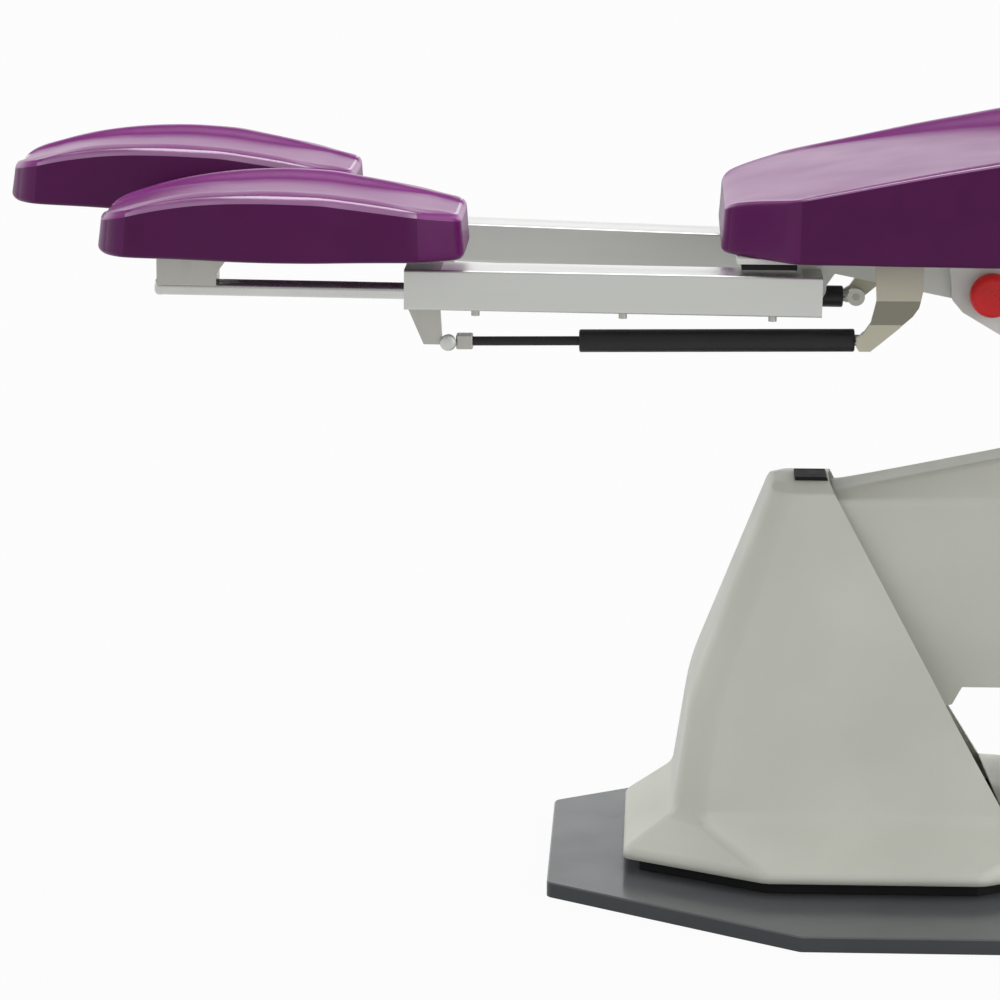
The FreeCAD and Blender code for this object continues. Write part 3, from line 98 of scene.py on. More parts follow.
# Pivots that pads are placed from, millimetres
SEAT_FRONT = -269.5
SEAT_Z = 716.0
LEG_PIVOT = Vector((-170.0, 0.0, 675.5))
LEG_Y = 139.0
PAD_Z = 36.5
PAD_START = -760.5
PAD_SHIFT = 14.0
LEG_PITCH = {"near": 0.7, "far": 1.9}          # degrees above level
LEG_DRAWN_OUT = {"near": 0.0, "far": 135.5}
BACK_PIVOT = Vector((330.0, 0.0, 690.0))
BACK_LEAN = 28.0            # degrees from upright
BACK_BOTTOM = 70.0
BACK_LENGTH = 690.0
BACK_SEAT = 28.3            # depth in front of the pivot line where the back's pad starts
BACK_FACE = 120.0
BACK_HALF_LOW = 226.0
BACK_HALF_TOP = 196.0
HEAD_LOW = 775.0
HEAD_HEIGHT = 150.0
HEAD_HALF = 140.0
HEAD_BACK = 2.0
HEAD_FACE = 92.0
ARMPAD_AT = Vector((75.0, 280.0, 925.3))
ARMPAD_LENGTH = 230.0
ARMPAD_HALF = 35.0
ARMPAD_FACE = 28.0

# distance along the pad, half width, wall height, lip, hollow, all in millimetres
SEAT_ROWS = [(0.0, 128.0, 44.0, 1.5, 1.0), (16.0, 148.0, 54.0, 2.0, 1.5), (78.0, 213.0, 67.0, 2.0, 2.5),
             (276.0, 227.0, 105.5, 3.5, 13.0), (400.0, 232.0, 123.0, 5.5, 24.0),
             (480.0, 231.0, 127.0, 6.5, 28.0), (505.5, 216.0, 117.0, 5.5, 23.0)]
PAD_ROWS = [(0.0, 34.0, 35.0, 1.2, 1.0), (4.0, 57.0, 38.5, 1.2, 1.5), (12.0, 78.0, 42.0, 1.2, 3.0),
            (24.0, 92.0, 46.0, 1.2, 4.0), (38.0, 100.0, 50.0, 1.2, 5.0), (60.0, 102.5, 56.5, 1.2, 6.0),
            (90.0, 104.5, 63.0, 1.2, 7.0), (120.0, 110.0, 67.5, 1.2, 8.0), (150.0, 116.0, 70.0, 1.2, 9.0),
            (190.0, 119.0, 71.5, 1.2, 9.0), (235.0, 117.0, 70.0, 1.2, 9.0), (275.0, 109.0, 65.0, 1.2, 8.0),
            (310.0, 104.0, 59.5, 1.2, 6.0), (343.0, 101.0, 54.0, 1.2, 4.0), (391.0, 70.0, 46.5, 1.2, 1.5)]

# share of the length, share of the narrowing, drop of the wall below the face, lip, hollow
BACK_ROWS = [(0.0, 0.4, 34.0, 6.0, 3.0), (0.03, 0.1, 22.0, 8.0, 6.0), (0.12, 0.0, 14.0, 9.0, 14.0),
             (0.45, 0.25, 12.0, 10.0, 22.0), (0.8, 0.75, 12.0, 10.0, 14.0), (0.97, 1.1, 22.0, 8.0, 6.0),
             (1.0, 1.5, 34.0, 6.0, 3.0)]

# share of the length, share of the half width, drop of the wall below the face, lip, hollow
HEAD_ROWS = [(0.0, 0.88, 20.0, 6.0, 2.0), (0.08, 0.97, 10.0, 7.0, 4.0), (0.5, 1.0, 8.0, 8.0, 8.0),
             (0.92, 0.97, 10.0, 7.0, 4.0), (1.0, 0.88, 20.0, 6.0, 2.0)]
ARMPAD_ROWS = [(0.0, 0.75, 10.0, 4.0, 1.0), (0.06, 0.95, 4.0, 5.0, 1.0), (0.5, 1.0, 2.0, 5.0, 2.0),
               (0.94, 0.95, 4.0, 5.0, 1.0), (1.0, 0.75, 10.0, 4.0, 1.0)]

# Tower cover: height, front, half width and corner cut of each level, and how far the near and the far
# rear edge reach past the seam
APRON = (-366.0, 181.0, 199.0, 155.0, 83.0)
APRON_BOTTOM = 34.0
APRON_BAND = 44.0
CREASE = (-312.0, 152.0, 128.0, 27.0, 27.0)
TOWER_ROWS = [(84.0, -312.0, 128.0, 27.0, 3.0, -7.0), (215.0, -293.0, 104.0, 27.0, 7.0, -10.0),
              (440.0, -208.0, 66.0, 20.0, 9.0, 9.0), (445.0, -202.0, 30.0, 8.0, 8.0, 8.0)]
SEAM_TOP = (-142.0, 432.0)
SEAM_RUN = 0.556
TOWER_WALL = 4.0
TOWER_BEND = 24.0           # widest rounding of a fold; other folds take a share of it
APRON_CORNER_BEND = 0.3
APRON_EDGE_BEND = 0.2
LEVEL_BENDS = (0.4, 1.0, 0.14, 0.12)           # along each level, from the crease up
CORNER_BENDS = (0.42, 0.42, 0.12)              # upright, between one level and the next

# Black pad at the end of the tower's roof
INSERT_FRONT = -179.5
INSERT_REAR = -142.5
INSERT_HALF = 22.0
INSERT_RISE = 4.5
INSERT_SLANT = 2.5
INSERT_RIM = 2.5            # width of the rim round the shallow tray in its top
INSERT_TRAY = 0.7           # depth of the tray
INSERT_EDGE = 0.6

# Arm cover
ARM_HALF = 60.0
ARM_CROWN = 30.0
ARM_EDGE_LOW = (-20.1, 220.0)
ARM_EDGE_RUN = 0.5314       # how far the front edge moves forward per unit of height
ARM_KINK = 60.0
ARM_END = 195.0
ARM_LOW_END = 310.0
ARM_SHOULDER = 431.0
ARM_SHOULDER_END = 459.0
ARM_TOP_START = (-150.0, 433.0)
ARM_TOP_SLOPE = 0.207
ARM_LUG = ((-16.0, 197.0), (-2.2, 200.0), (8.4, 220.0))    # lug of the side below its front corner
ARM_WALL = 3.0
ARM_BEND = 7.0
ARM_TUCK = (-16.0, -9.0)    # how far the cover's front edge runs on, down under the tower's roof

# Gas springs
SPRING_HOOK = (-108.0, 139.0, 625.0)
SPRING_EYE_REACH = 14.6     # the silver end reaches this far from the hook's pin
SOCKET_LENGTH = 19.0        # length of the silver socket at the rod's end
BALL_AT = (-386.5, -59.7)   # the ball stud, along and up from the leg's pivot
BALL_TAB = 45.0             # height of the tab that holds the ball, from the ball's lowest point

# Slide bars and the foot brackets on them, along and up from the leg's pivot
BAR_FRONT = {"near": -695.0, "far": -648.0}
BAR_REAR = -190.0
BAR_UP = -6.0
BAR_RADIUS = 9.0
BAR_CHAMFER = 1.0
BRACKET_FRONT = {"near": -699.0, "far": -656.0}
BRACKET_WAIST = (-635.0, 11.5)
BRACKET_REAR = -616.0
BRACKET_HALF = 17.0
BRACKET_LOW = -2.0
BRACKET_EDGE = 1.0
GROOVE_STEPS = 8

# radius and distance along the axis of the cap on a ball stud and of the plug at a bar's end
BALL_CAP = [(3.5, 5.5), (3.5, 9.0), (8.4, 9.3), (9.0, 10.0), (8.7, 11.6), (7.2, 13.0), (4.0, 13.9)]
BAR_PLUG = [(9.3, 0.0), (9.3, 4.0), (8.6, 6.0), (6.5, 7.4), (3.0, 8.0)]
TURNED_SIDES = 28
TURNED_SHARP = 40.0         # degrees above which an edge of a turned piece stays sharp


# Materials

class Surface:
    """A Principled material whose textures lie in object space, so that they move with the piece."""

    def __init__(self, name, roughness, metallic=0.0):
        self.material = bpy.data.materials.new(name)
        self.material.use_nodes = True
        self.tree = self.material.node_tree
        self.shader = self.tree.nodes["Principled BSDF"]
        self.shader.inputs["Roughness"].default_value = roughness
        self.shader.inputs["Metallic"].default_value = metallic
        self.place = self.tree.nodes.new("ShaderNodeTexCoord")
        self.normal = None

    def set(self, socket, value):
        self.shader.inputs[socket].default_value = value

    def spot(self, stretch=(1.0, 1.0, 1.0)):
        mapping = self.tree.nodes.new("ShaderNodeMapping")
        mapping.inputs["Scale"].default_value = stretch
        self.tree.links.new(self.place.outputs["Object"], mapping.inputs["Vector"])
        return mapping.outputs["Vector"]

    def noise(self, scale, detail=3.0, stretch=(1.0, 1.0, 1.0)):
        node = self.tree.nodes.new("ShaderNodeTexNoise")
        node.inputs["Scale"].default_value = scale
        node.inputs["Detail"].default_value = detail
        self.tree.links.new(self.spot(stretch), node.inputs["Vector"])
        return node.outputs["Fac"]

    def cells(self, scale):
        node = self.tree.nodes.new("ShaderNodeTexVoronoi")
        node.feature = "SMOOTH_F1"
        node.inputs["Scale"].default_value = scale
        node.inputs["Smoothness"].default_value = 0.6
        self.tree.links.new(self.spot(), node.inputs["Vector"])
        return node.outputs["Distance"]

    def bands(self, scale, direction="Z"):
        node = self.tree.nodes.new("ShaderNodeTexWave")
        node.bands_direction = direction
        node.inputs["Scale"].default_value = scale
        node.inputs["Distortion"].default_value = 0.6
        self.tree.links.new(self.spot(), node.inputs["Vector"])
        return node.outputs["Fac"]

    def colour(self, factor, low, high, start=0.35, end=0.65):
        ramp = self.tree.nodes.new("ShaderNodeValToRGB")
        ramp.color_ramp.elements[0].position = start
        ramp.color_ramp.elements[0].color = (*low, 1.0)
        ramp.color_ramp.elements[1].position = end
        ramp.color_ramp.elements[1].color = (*high, 1.0)
        self.tree.links.new(factor, ramp.inputs["Fac"])
        self.tree.links.new(ramp.outputs["Color"], self.shader.inputs["Base Color"])

    def roughness(self, factor, low, high):
        spread = self.tree.nodes.new("ShaderNodeMapRange")
        spread.inputs["From Min"].default_value = 0.3
        spread.inputs["From Max"].default_value = 0.7
        spread.inputs["To Min"].default_value = low
        spread.inputs["To Max"].default_value = high
        self.tree.links.new(factor, spread.inputs["Value"])
        self.tree.links.new(spread.outputs["Result"], self.shader.inputs["Roughness"])

    def bump(self, height, distance, strength=1.0):
        node = self.tree.nodes.new("ShaderNodeBump")
        node.inputs["Distance"].default_value = distance
        node.inputs["Strength"].default_value = strength
        self.tree.links.new(height, node.inputs["Height"])
        if self.normal is not None:
            self.tree.links.new(self.normal, node.inputs["Normal"])
        self.normal = node.outputs["Normal"]
        self.tree.links.new(self.normal, self.shader.inputs["Normal"])


def shades(colour, spread):
    low = tuple(channel * (1.0 - spread) for channel in colour)
    high = tuple(min(1.0, channel * (1.0 + spread)) for channel in colour)
    return low, high


def paint(name, colour, rough, spread=0.04, peel=0.00012, specular=0.5):
    surface = Surface(name, rough)
    surface.set("Specular IOR Level", specular)
    surface.colour(surface.noise(6.0, 4.0), *shades(colour, spread))
    surface.roughness(surface.noise(22.0, 3.0), rough - 0.05, rough + 0.06)
    surface.bump(surface.noise(420.0, 2.0), peel, 0.6)
    surface.bump(surface.noise(2400.0, 1.0), 0.00003, 0.5)
    return surface.material


def plastic(name, colour, rough, texture=0.0001, specular=0.5):
    surface = Surface(name, rough)
    surface.set("Specular IOR Level", specular)
    surface.colour(surface.noise(30.0, 3.0), *shades(colour, 0.12))
    surface.roughness(surface.noise(60.0, 3.0), rough - 0.06, rough + 0.08)
    surface.bump(surface.noise(1300.0, 2.0), texture, 0.6)
    return surface.material


def brushed(name, colour, rough, stretch, spread=0.06):
    surface = Surface(name, rough, 1.0)
    lines = surface.noise(55.0, 4.0, stretch)
    surface.colour(lines, *shades(colour, spread))
    surface.roughness(lines, rough - 0.07, rough + 0.08)
    surface.bump(lines, 0.00004, 0.5)
    surface.bump(surface.noise(14.0, 2.0), 0.0002, 0.15)
    return surface.material


def polished(name, colour):
    surface = Surface(name, 0.26, 1.0)
    surface.colour(surface.noise(9.0, 3.0), *shades(colour, 0.04))
    surface.roughness(surface.noise(130.0, 4.0, (0.2, 1.0, 1.0)), 0.2, 0.32)
    surface.bump(surface.noise(900.0, 2.0, (0.1, 1.0, 1.0)), 0.00001, 0.4)
    return surface.material


def leather(name, colour, specular, coat=0.0):
    surface = Surface(name, 0.3)
    surface.set("Specular IOR Level", specular)
    surface.set("Coat Weight", coat)
    surface.set("Coat Roughness", 0.25)
    surface.set("Coat IOR", 2.2)
    surface.colour(surface.noise(18.0, 5.0), *shades(colour, 0.06))
    surface.roughness(surface.noise(12.0, 2.0), 0.28, 0.33)
    surface.bump(surface.cells(620.0), 0.00003, 0.1)
    surface.bump(surface.noise(1500.0, 2.0), 0.00001, 0.1)
    return surface.material


def plywood(name, pale, dark):
    surface = Surface(name, 0.6)
    surface.colour(surface.bands(75.0), dark, pale, 0.2, 0.8)
    surface.roughness(surface.noise(50.0, 3.0, (0.1, 1.0, 1.0)), 0.5, 0.7)
    surface.bump(surface.noise(160.0, 4.0, (0.06, 1.0, 1.0)), 0.0002, 0.5)
    return surface.material


materials = {
    "cover_paint": paint("cover_paint", (0.6, 0.61, 0.54), 0.45),
    "plate_paint": paint("plate_paint", (0.115, 0.12, 0.126), 0.18, 0.06, 0.00001, 0.35),
    # Painted shade: a darker copy of the plate paint for the base plate's upright sides
    "plate_side_painted_shade": paint("plate_side_painted_shade", (0.05, 0.054, 0.06), 0.35, 0.06, 0.00002, 0.3),
    "black_plastic": plastic("black_plastic", (0.01, 0.01, 0.011), 0.65, 0.0001, 0.25),
    "black_rubber": plastic("black_rubber", (0.012, 0.012, 0.012), 0.75, 0.0002, 0.25),
    "frame_paint": paint("frame_paint", (0.76, 0.765, 0.73), 0.45),
    "hook_paint": paint("hook_paint", (0.54, 0.525, 0.41), 0.5),
    # Painted shade: a darker copy of the hook paint for the hook's downward-sloping bend
    "hook_bend_painted_shade": paint("hook_bend_painted_shade", (0.27, 0.26, 0.2), 0.55),
    "zinc_steel": brushed("zinc_steel", (0.45, 0.445, 0.41), 0.42, (1.0, 1.0, 0.15)),
    "chrome": polished("chrome", (0.55, 0.55, 0.54)),
    "aluminium": brushed("aluminium", (0.62, 0.63, 0.6), 0.5, (0.05, 1.0, 1.0), 0.03),
    # Painted light: a paler copy of the aluminium for the leg tubes' upward faces
    "aluminium_top_painted_light": brushed("aluminium_top_painted_light", (0.88, 0.885, 0.87), 0.36, (0.05, 1.0, 1.0), 0.02),
    "spring_black": plastic("spring_black", (0.009, 0.009, 0.01), 0.4, 0.00004, 0.35),
    "stop_red": plastic("stop_red", (0.75, 0.018, 0.02), 0.3, 0.00002, 0.3),
    "board": plywood("board", (0.55, 0.38, 0.2), (0.3, 0.18, 0.08)),
    "upholstery": leather("upholstery", (0.22, 0.013, 0.2), 0.55),
    "upholstery_edge": leather("upholstery_edge", (0.22, 0.013, 0.2), 0.7, 1.0),
    # Painted shade: darker copies of the leather's colour for the pads' end walls, blunt ends and side
    # walls
    "upholstery_end_painted_shade": leather("upholstery_end_painted_shade", (0.108, 0.008, 0.094), 0.2),
    "upholstery_front_painted_shade": leather("upholstery_front_painted_shade", (0.125, 0.01, 0.11), 0.05),
    "upholstery_side_painted_shade": leather("upholstery_side_painted_shade", (0.082, 0.006, 0.07), 0.16),
    "dust_cloth": plastic("dust_cloth", (0.09, 0.05, 0.085), 0.8, 0.0003, 0.2),
}


def dress_nodes():
    for part in frame["record"]["subparts"]:
        mesh = nodes[part["node"]].data
        mesh.materials.clear()
        mesh.materials.append(materials[part["material_slot"]])


def dress_faces(node, slot, wanted):
    """Gives a second material to the faces of a node that wanted(face) picks: a real finish, or a copy
    with painted light or shade.
    """
    mesh = nodes[node].data
    mesh.materials.append(materials[slot])
    for polygon in mesh.polygons:
        if wanted(polygon):
            polygon.material_index = len(mesh.materials) - 1


def faces_up(face):
    return face.normal.z > 0.7


def faces_down(face):
    return face.normal.z < -0.5


def every_face(face):
    return True


def dress_paint_and_painted_shade():
    # Real paints for the plinth top and carriage cover; painted shade on the plate's sides and the hook's
    # bend
    dress_faces("plinth", "cover_paint", faces_up)
    dress_faces("carriage_cover", "frame_paint", every_face)
    # Painted shade: the base plate's upright sides get the darker copy of its paint
    dress_faces("base_plate", "plate_side_painted_shade", lambda face: abs(face.normal.z) < 0.5)
    dress_faces("spring_hooks", "hook_paint", every_face)
    # Painted shade: the hook's faces that slope downwards get the darker copy of its paint
    dress_faces("spring_hooks", "hook_bend_painted_shade",
                lambda face: face.normal.z < -0.15 and abs(face.normal.y) > 0.3)


def dress_spring_ends():
    for side, sign in (("near", -1.0), ("far", 1.0)):
        x, y, z = SPRING_HOOK
        pin = Vector((x, sign * y, z)) * MM
        dress_faces("gas_cylinder_" + side, "zinc_steel",
                    lambda face: (face.center - pin).length < SPRING_EYE_REACH * MM)
        socket_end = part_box("gas_rod_" + side)[0][0] + SOCKET_LENGTH * MM
        dress_faces("gas_rod_" + side, "zinc_steel", lambda face: face.center.x < socket_end)


def dress_legs():
    for side in ("near", "far"):
        # Painted light: the leg tubes' upward faces get the paler copy of the aluminium
        dress_faces("leg_tube_" + side, "aluminium_top_painted_light", faces_up)
        tab_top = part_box("leg_bracket_" + side)[0][2] + BALL_TAB * MM
        dress_faces("leg_bracket_" + side, "zinc_steel", lambda face: face.center.z < tab_top)


def dress_boards():
    for board in ("seat_board", "pad_board_near", "pad_board_far"):
        dress_faces(board, "dust_cloth", faces_down)
    dress_faces("back_board", "dust_cloth", lambda face: face.normal.x > 0.5)


# Edge rounding on the hard pieces, millimetres

EDGE_RADII = {"spring_hooks": 1.2, "seat_frame": 1.0, "carriage_cover": 1.2, "rear_cover": 1.2,
              "plinth": 1.0, "tower_frame": 1.0, "arm_frame": 1.0, "link_bars": 0.8,
              "carriage_frame": 1.0, "back_frame": 1.5, "armrest_posts": 2.0, "armrest_beam_near": 2.0,
              "armrest_beam_far": 2.0, "control_box": 1.0, "mains_inlet": 0.4, "leg_bracket_near": 1.0,
              "leg_bracket_far": 1.0, "seat_board": 0.8, "back_board": 0.8, "pad_board_near": 0.8,
              "pad_board_far": 0.8, "leg_bumpers": 1.0, "stop_collar": 0.8}


def round_edges(piece, radius, segments=2, angle=22.0):
    weld = piece.modifiers.new("weld", "WELD")
    weld.merge_threshold = 0.00001
    flat = piece.modifiers.new("flat", "DECIMATE")
    flat.decimate_type = "DISSOLVE"
    flat.angle_limit = math.radians(0.5)
    bevel = piece.modifiers.new("edges", "BEVEL")
    bevel.width = radius * MM
    bevel.segments = segments
    bevel.limit_method = "ANGLE"
    bevel.angle_limit = math.radians(angle)
    weigh = piece.modifiers.new("normals", "WEIGHTED_NORMAL")
    weigh.keep_sharp = True


def soften_nodes():
    for name, radius in EDGE_RADII.items():
        piece = nodes[name]
        for polygon in piece.data.polygons:
            polygon.use_smooth = True
        round_edges(piece, radius)


# Making pieces

def make_piece(name, points, faces, slot):
    mesh = bpy.data.meshes.new(name)
    mesh.from_pydata([tuple(p) for p in points], [], faces)
    mesh.validate()
    for polygon in mesh.polygons:
        polygon.use_smooth = True
    mesh.materials.append(materials[slot])
    piece = bpy.data.objects.new(name, mesh)
    bpy.context.scene.collection.objects.link(piece)
    return piece


def shift(x, y, z):
    return Matrix.Translation(Vector((x, y, z)))


def leg_place(side, along, across, up):
    """Place on a leg rest, from the leg's pivot; across is measured outwards from the chair's middle."""
    sign = -1.0 if side == "near" else 1.0
    turn = Matrix.Rotation(math.radians(LEG_PITCH[side]), 4, "Y")
    return Matrix.Translation(LEG_PIVOT) @ turn @ shift(along, sign * across, up)


def face_outwards(mesh):
    form = bmesh.new()
    form.from_mesh(mesh)
    bmesh.ops.recalc_face_normals(form, faces=form.faces)
    form.to_mesh(mesh)
    form.free()


# Leg fittings

def foot_bracket(side):
    """A block with a gusset to the rear, which sits on the slide bar in a rounded groove."""
    rise = BRACKET_LOW - BAR_UP
    first = math.asin(rise / BAR_RADIUS)
    groove = []
    for k in range(GROOVE_STEPS + 1):
        turn = first + (math.pi - 2 * first) * k / GROOVE_STEPS
        groove.append((BAR_RADIUS * math.cos(turn), BAR_UP + BAR_RADIUS * math.sin(turn)))
    waist, waist_up = BRACKET_WAIST
    half = BRACKET_HALF
    section = [(-half, BRACKET_LOW), (-half, waist_up), (half, waist_up), (half, BRACKET_LOW)] + groove
    count = len(section)
    front = BRACKET_FRONT[side]
    points = [Vector((x, y, z)) for x in (front, waist) for y, z in section]
    points += [Vector((x, y, PAD_Z)) for x in (front, BRACKET_REAR) for y in (-half, half)]
    front_near, front_far, rear_near, rear_far = range(2 * count, 2 * count + 4)
    faces = [tuple(range(count)), tuple(range(count, 2 * count))]
    for k in range(count):
        n = (k + 1) % count
        if k != 1:
            faces.append((k, n, n + count, k + count))
    faces += [(1, 2, front_far, front_near), (1 + count, 2 + count, rear_far, rear_near),
              (1, 1 + count, rear_near, front_near), (2, 2 + count, rear_far, front_far),
              (front_near, front_far, rear_far, rear_near)]
    place = leg_place(side, -LEG_DRAWN_OUT[side], LEG_Y, 0.0)
    piece = make_piece("foot_block_" + side, [place @ p * MM for p in points], faces, "zinc_steel")
    face_outwards(piece.data)
    round_edges(piece, BRACKET_EDGE)
    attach(piece, "extension_" + side)
    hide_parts("foot_bracket_" + side)


def turned_piece(name, place, profile, slot, body):
    """A piece turned about its own Z axis."""
    points = []
    faces = [tuple(reversed(range(TURNED_SIDES)))]
    for ring, (radius, along) in enumerate(profile):
        for k in range(TURNED_SIDES):
            turn = 2 * math.pi * k / TURNED_SIDES
            points.append(place @ Vector((radius * math.cos(turn), radius * math.sin(turn), along)) * MM)
            a = ring * TURNED_SIDES + k
            b = ring * TURNED_SIDES + (k + 1) % TURNED_SIDES
            if ring < len(profile) - 1:
                faces.append((a, b, b + TURNED_SIDES, a + TURNED_SIDES))
    faces.append(tuple(range(len(points) - TURNED_SIDES, len(points))))
    piece = make_piece(name, points, faces, slot)
    piece.data.set_sharp_from_angle(angle=math.radians(TURNED_SHARP))
    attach(piece, body)
    return piece


def slide_bar(side):
    length = BAR_REAR - BAR_FRONT[side]
    profile = [(BAR_RADIUS - BAR_CHAMFER, 0.0), (BAR_RADIUS, BAR_CHAMFER), (BAR_RADIUS, length)]
    profile += [(radius, length + along) for radius, along in BAR_PLUG]
    rear = leg_place(side, BAR_REAR - LEG_DRAWN_OUT[side], LEG_Y, BAR_UP)
    forwards = Matrix.Rotation(math.radians(-90.0), 4, "Y")
    piece = turned_piece("bar_" + side, rear @ forwards, profile, "chrome", "extension_" + side)
    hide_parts("slide_bar_" + side)


def leg_fittings():
    along, up = BALL_AT
    for side, outwards in (("near", 90.0), ("far", -90.0)):
        foot_bracket(side)
        slide_bar(side)
        ball = leg_place(side, along, LEG_Y, up) @ Matrix.Rotation(math.radians(outwards), 4, "X")
        turned_piece("ball_cap_" + side, ball, BALL_CAP, "aluminium", "leg_" + side)


# Sheet covers: folded panels whose bends are rounded before the sheet gets its thickness

class Folds:
    """Points, panels and the share of the widest rounding that each fold gets."""

    def __init__(self):
        self.points = []
        self.panels = []
        self.shares = {}

    def add(self, outline, z):
        first = len(self.points)
        self.points += [Vector((x, y, z)) for x, y in outline]
        return list(range(first, len(self.points)))

    def fold(self, run, share):
        for a, b in zip(run, run[1:]):
            self.shares[frozenset((a, b))] = share

    def piece(self, name, width, wall, body, node):
        piece = make_piece(name, [p * MM for p in self.points], self.panels, "cover_paint")
        weights = piece.data.attributes.new("bevel_weight_edge", "FLOAT", "EDGE")
        for edge in piece.data.edges:
            weights.data[edge.index].value = self.shares.get(frozenset(edge.vertices), 0.0)
        bend = piece.modifiers.new("bends", "BEVEL")
        bend.limit_method = "WEIGHT"
        bend.width = width * MM
        bend.segments = 5
        bend.use_clamp_overlap = False
        sheet = piece.modifiers.new("sheet", "SOLIDIFY")
        sheet.thickness = wall * MM
        sheet.offset = -1.0
        sheet.use_even_offset = True
        piece.modifiers.new("normals", "WEIGHTED_NORMAL").keep_sharp = True
        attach(piece, body)
        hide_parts(node)


def octagon(x0, x1, half, cut_x, cut_y):
    return [(x0 + cut_x, -half), (x1 - cut_x, -half), (x1, cut_y - half), (x1, half - cut_y),
            (x1 - cut_x, half), (x0 + cut_x, half), (x0, half - cut_y), (x0, cut_y - half)]


def tower_level(z, front, half, corner, reach, far_reach):
    seam = SEAM_TOP[0] + (SEAM_TOP[1] - z) * SEAM_RUN
    return [(seam + reach, -half), (front + corner, -half), (front, corner - half), (front, half - corner),
            (front + corner, half), (seam + far_reach, half)]


def tower_cover():
    folds = Folds()
    foot = folds.add(octagon(*APRON), APRON_BOTTOM)
    band = folds.add(octagon(*APRON), APRON_BAND)
    crease_z = TOWER_ROWS[0][0]
    crease = folds.add(octagon(*CREASE), crease_z)
    base = tower_level(*TOWER_ROWS[0])
    near_split, far_split = folds.add([base[0], base[-1]], crease_z)
    for k in range(8):
        n = (k + 1) % 8
        folds.panels.append((foot[k], foot[n], band[n], band[k]))
        slope = [band[k], band[n], crease[n], crease[k]]
        if k == 0:
            slope.insert(3, near_split)
        if k == 4:
            slope.insert(3, far_split)
        folds.panels.append(tuple(slope))
        folds.fold((foot[k], band[k], crease[k]), APRON_CORNER_BEND)
    folds.panels.append((near_split, crease[1], crease[2], crease[3], crease[4], far_split))
    folds.fold(band + band[:1], APRON_EDGE_BEND)
    folds.fold([near_split] + crease[1:5] + [far_split], APRON_EDGE_BEND)
    levels = [[near_split, crease[0], crease[7], crease[6], crease[5], far_split]]
    levels += [folds.add(tower_level(*row), row[0]) for row in TOWER_ROWS[1:]]
    for low, high in zip(levels, levels[1:]):
        for k in range(5):
            folds.panels.append((low[k + 1], low[k], high[k], high[k + 1]))
    folds.panels.append(tuple(reversed(levels[-1])))
    for level, share in zip(levels, LEVEL_BENDS):
        folds.fold(level, share)
    for low, high, share in zip(levels, levels[1:], CORNER_BENDS):
        for k in range(1, 5):
            folds.fold((low[k], high[k]), share)
    folds.piece("tower_shell", TOWER_BEND, TOWER_WALL, "base", "tower_cover")


def top_insert():
    low = TOWER_ROWS[-1][0]
    high = low + INSERT_RISE
    outline = [(INSERT_FRONT, low), (INSERT_REAR, low),
               (INSERT_REAR - INSERT_SLANT, high), (INSERT_FRONT, high)]
    points = [Vector((x, y, z)) * MM for y in (-INSERT_HALF, INSERT_HALF) for x, z in outline]
    faces = [(0, 1, 2, 3), (4, 5, 6, 7)]
    faces += [(k, (k + 1) % 4, (k + 1) % 4 + 4, k + 4) for k in range(4)]
    piece = make_piece("top_insert", points, faces, "black_plastic")
    face_outwards(piece.data)
    form = bmesh.new()
    form.from_mesh(piece.data)
    top = [face for face in form.faces if face.normal.z > 0.9]
    bmesh.ops.inset_individual(form, faces=top, thickness=INSERT_RIM * MM, depth=-INSERT_TRAY * MM)
    form.to_mesh(piece.data)
    form.free()
    round_edges(piece, INSERT_EDGE)
    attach(piece, "base")
    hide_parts("tower_insert")


def arm_edge(z):
    return ARM_EDGE_LOW[0] - (z - ARM_EDGE_LOW[1]) * ARM_EDGE_RUN


def arm_lines(across):
    """Lower edge, shoulder and crown of the arm cover's side, from front to rear; across is -1 or 1."""
    low = ARM_EDGE_LOW[1]
    lower = [Vector(p) for p in (ARM_EDGE_LOW, *ARM_LUG, (ARM_KINK, low), (ARM_END, ARM_LOW_END))]
    top_at_zero = ARM_TOP_START[1] - ARM_TOP_START[0] * ARM_TOP_SLOPE
    crown_front = arm_edge(top_at_zero) / (1.0 + ARM_EDGE_RUN * ARM_TOP_SLOPE)
    shoulder = []
    crown = []
    steps = [k / 8 for k in range(9)]
    for t in steps:
        x = arm_edge(ARM_SHOULDER) * (1 - t) + ARM_KINK * t
        shoulder.append(Vector((x, ARM_SHOULDER)))
        x = crown_front * (1 - t) + ARM_KINK * t
        crown.append(Vector((x, top_at_zero + ARM_TOP_SLOPE * x)))
    for t in steps[2::2]:
        x = ARM_KINK * (1 - t) + ARM_END * t
        shoulder.append(Vector((x, ARM_SHOULDER * (1 - t) + ARM_SHOULDER_END * t)))
        crown.append(Vector((x, top_at_zero + ARM_TOP_SLOPE * x)))
    for line in (shoulder, crown):
        line.insert(0, line[0] + Vector(ARM_TUCK))
    sides = []
    for line, half in ((lower, ARM_HALF), (shoulder, ARM_HALF), (crown, ARM_CROWN)):
        sides.append([Vector((p.x, across * half, p.y)) for p in line])
    return sides


def arm_cover():
    folds = Folds()

    def put(line):
        first = len(folds.points)
        folds.points.extend(line)
        return list(range(first, len(folds.points)))

    near_low, near_shoulder, near_crown = [put(line) for line in arm_lines(-1.0)]
    far_low, far_shoulder, far_crown = [put(line) for line in arm_lines(1.0)]
    folds.panels.append(tuple(near_low + near_shoulder[::-1]))
    folds.panels.append(tuple(far_shoulder + far_low[::-1]))
    for a, b in ((near_shoulder, near_crown), (near_crown, far_crown), (far_crown, far_shoulder)):
        for k in range(len(a) - 1):
            folds.panels.append((a[k], a[k + 1], b[k + 1], b[k]))
    for line in (near_shoulder, near_crown, far_crown, far_shoulder):
        folds.fold(line, 1.0)
    folds.piece("arm_shell", ARM_BEND, ARM_WALL, "lift_arm", "arm_cover")


# Upholstered pads: a plan outline, a height for every point inside it, and rounded edges

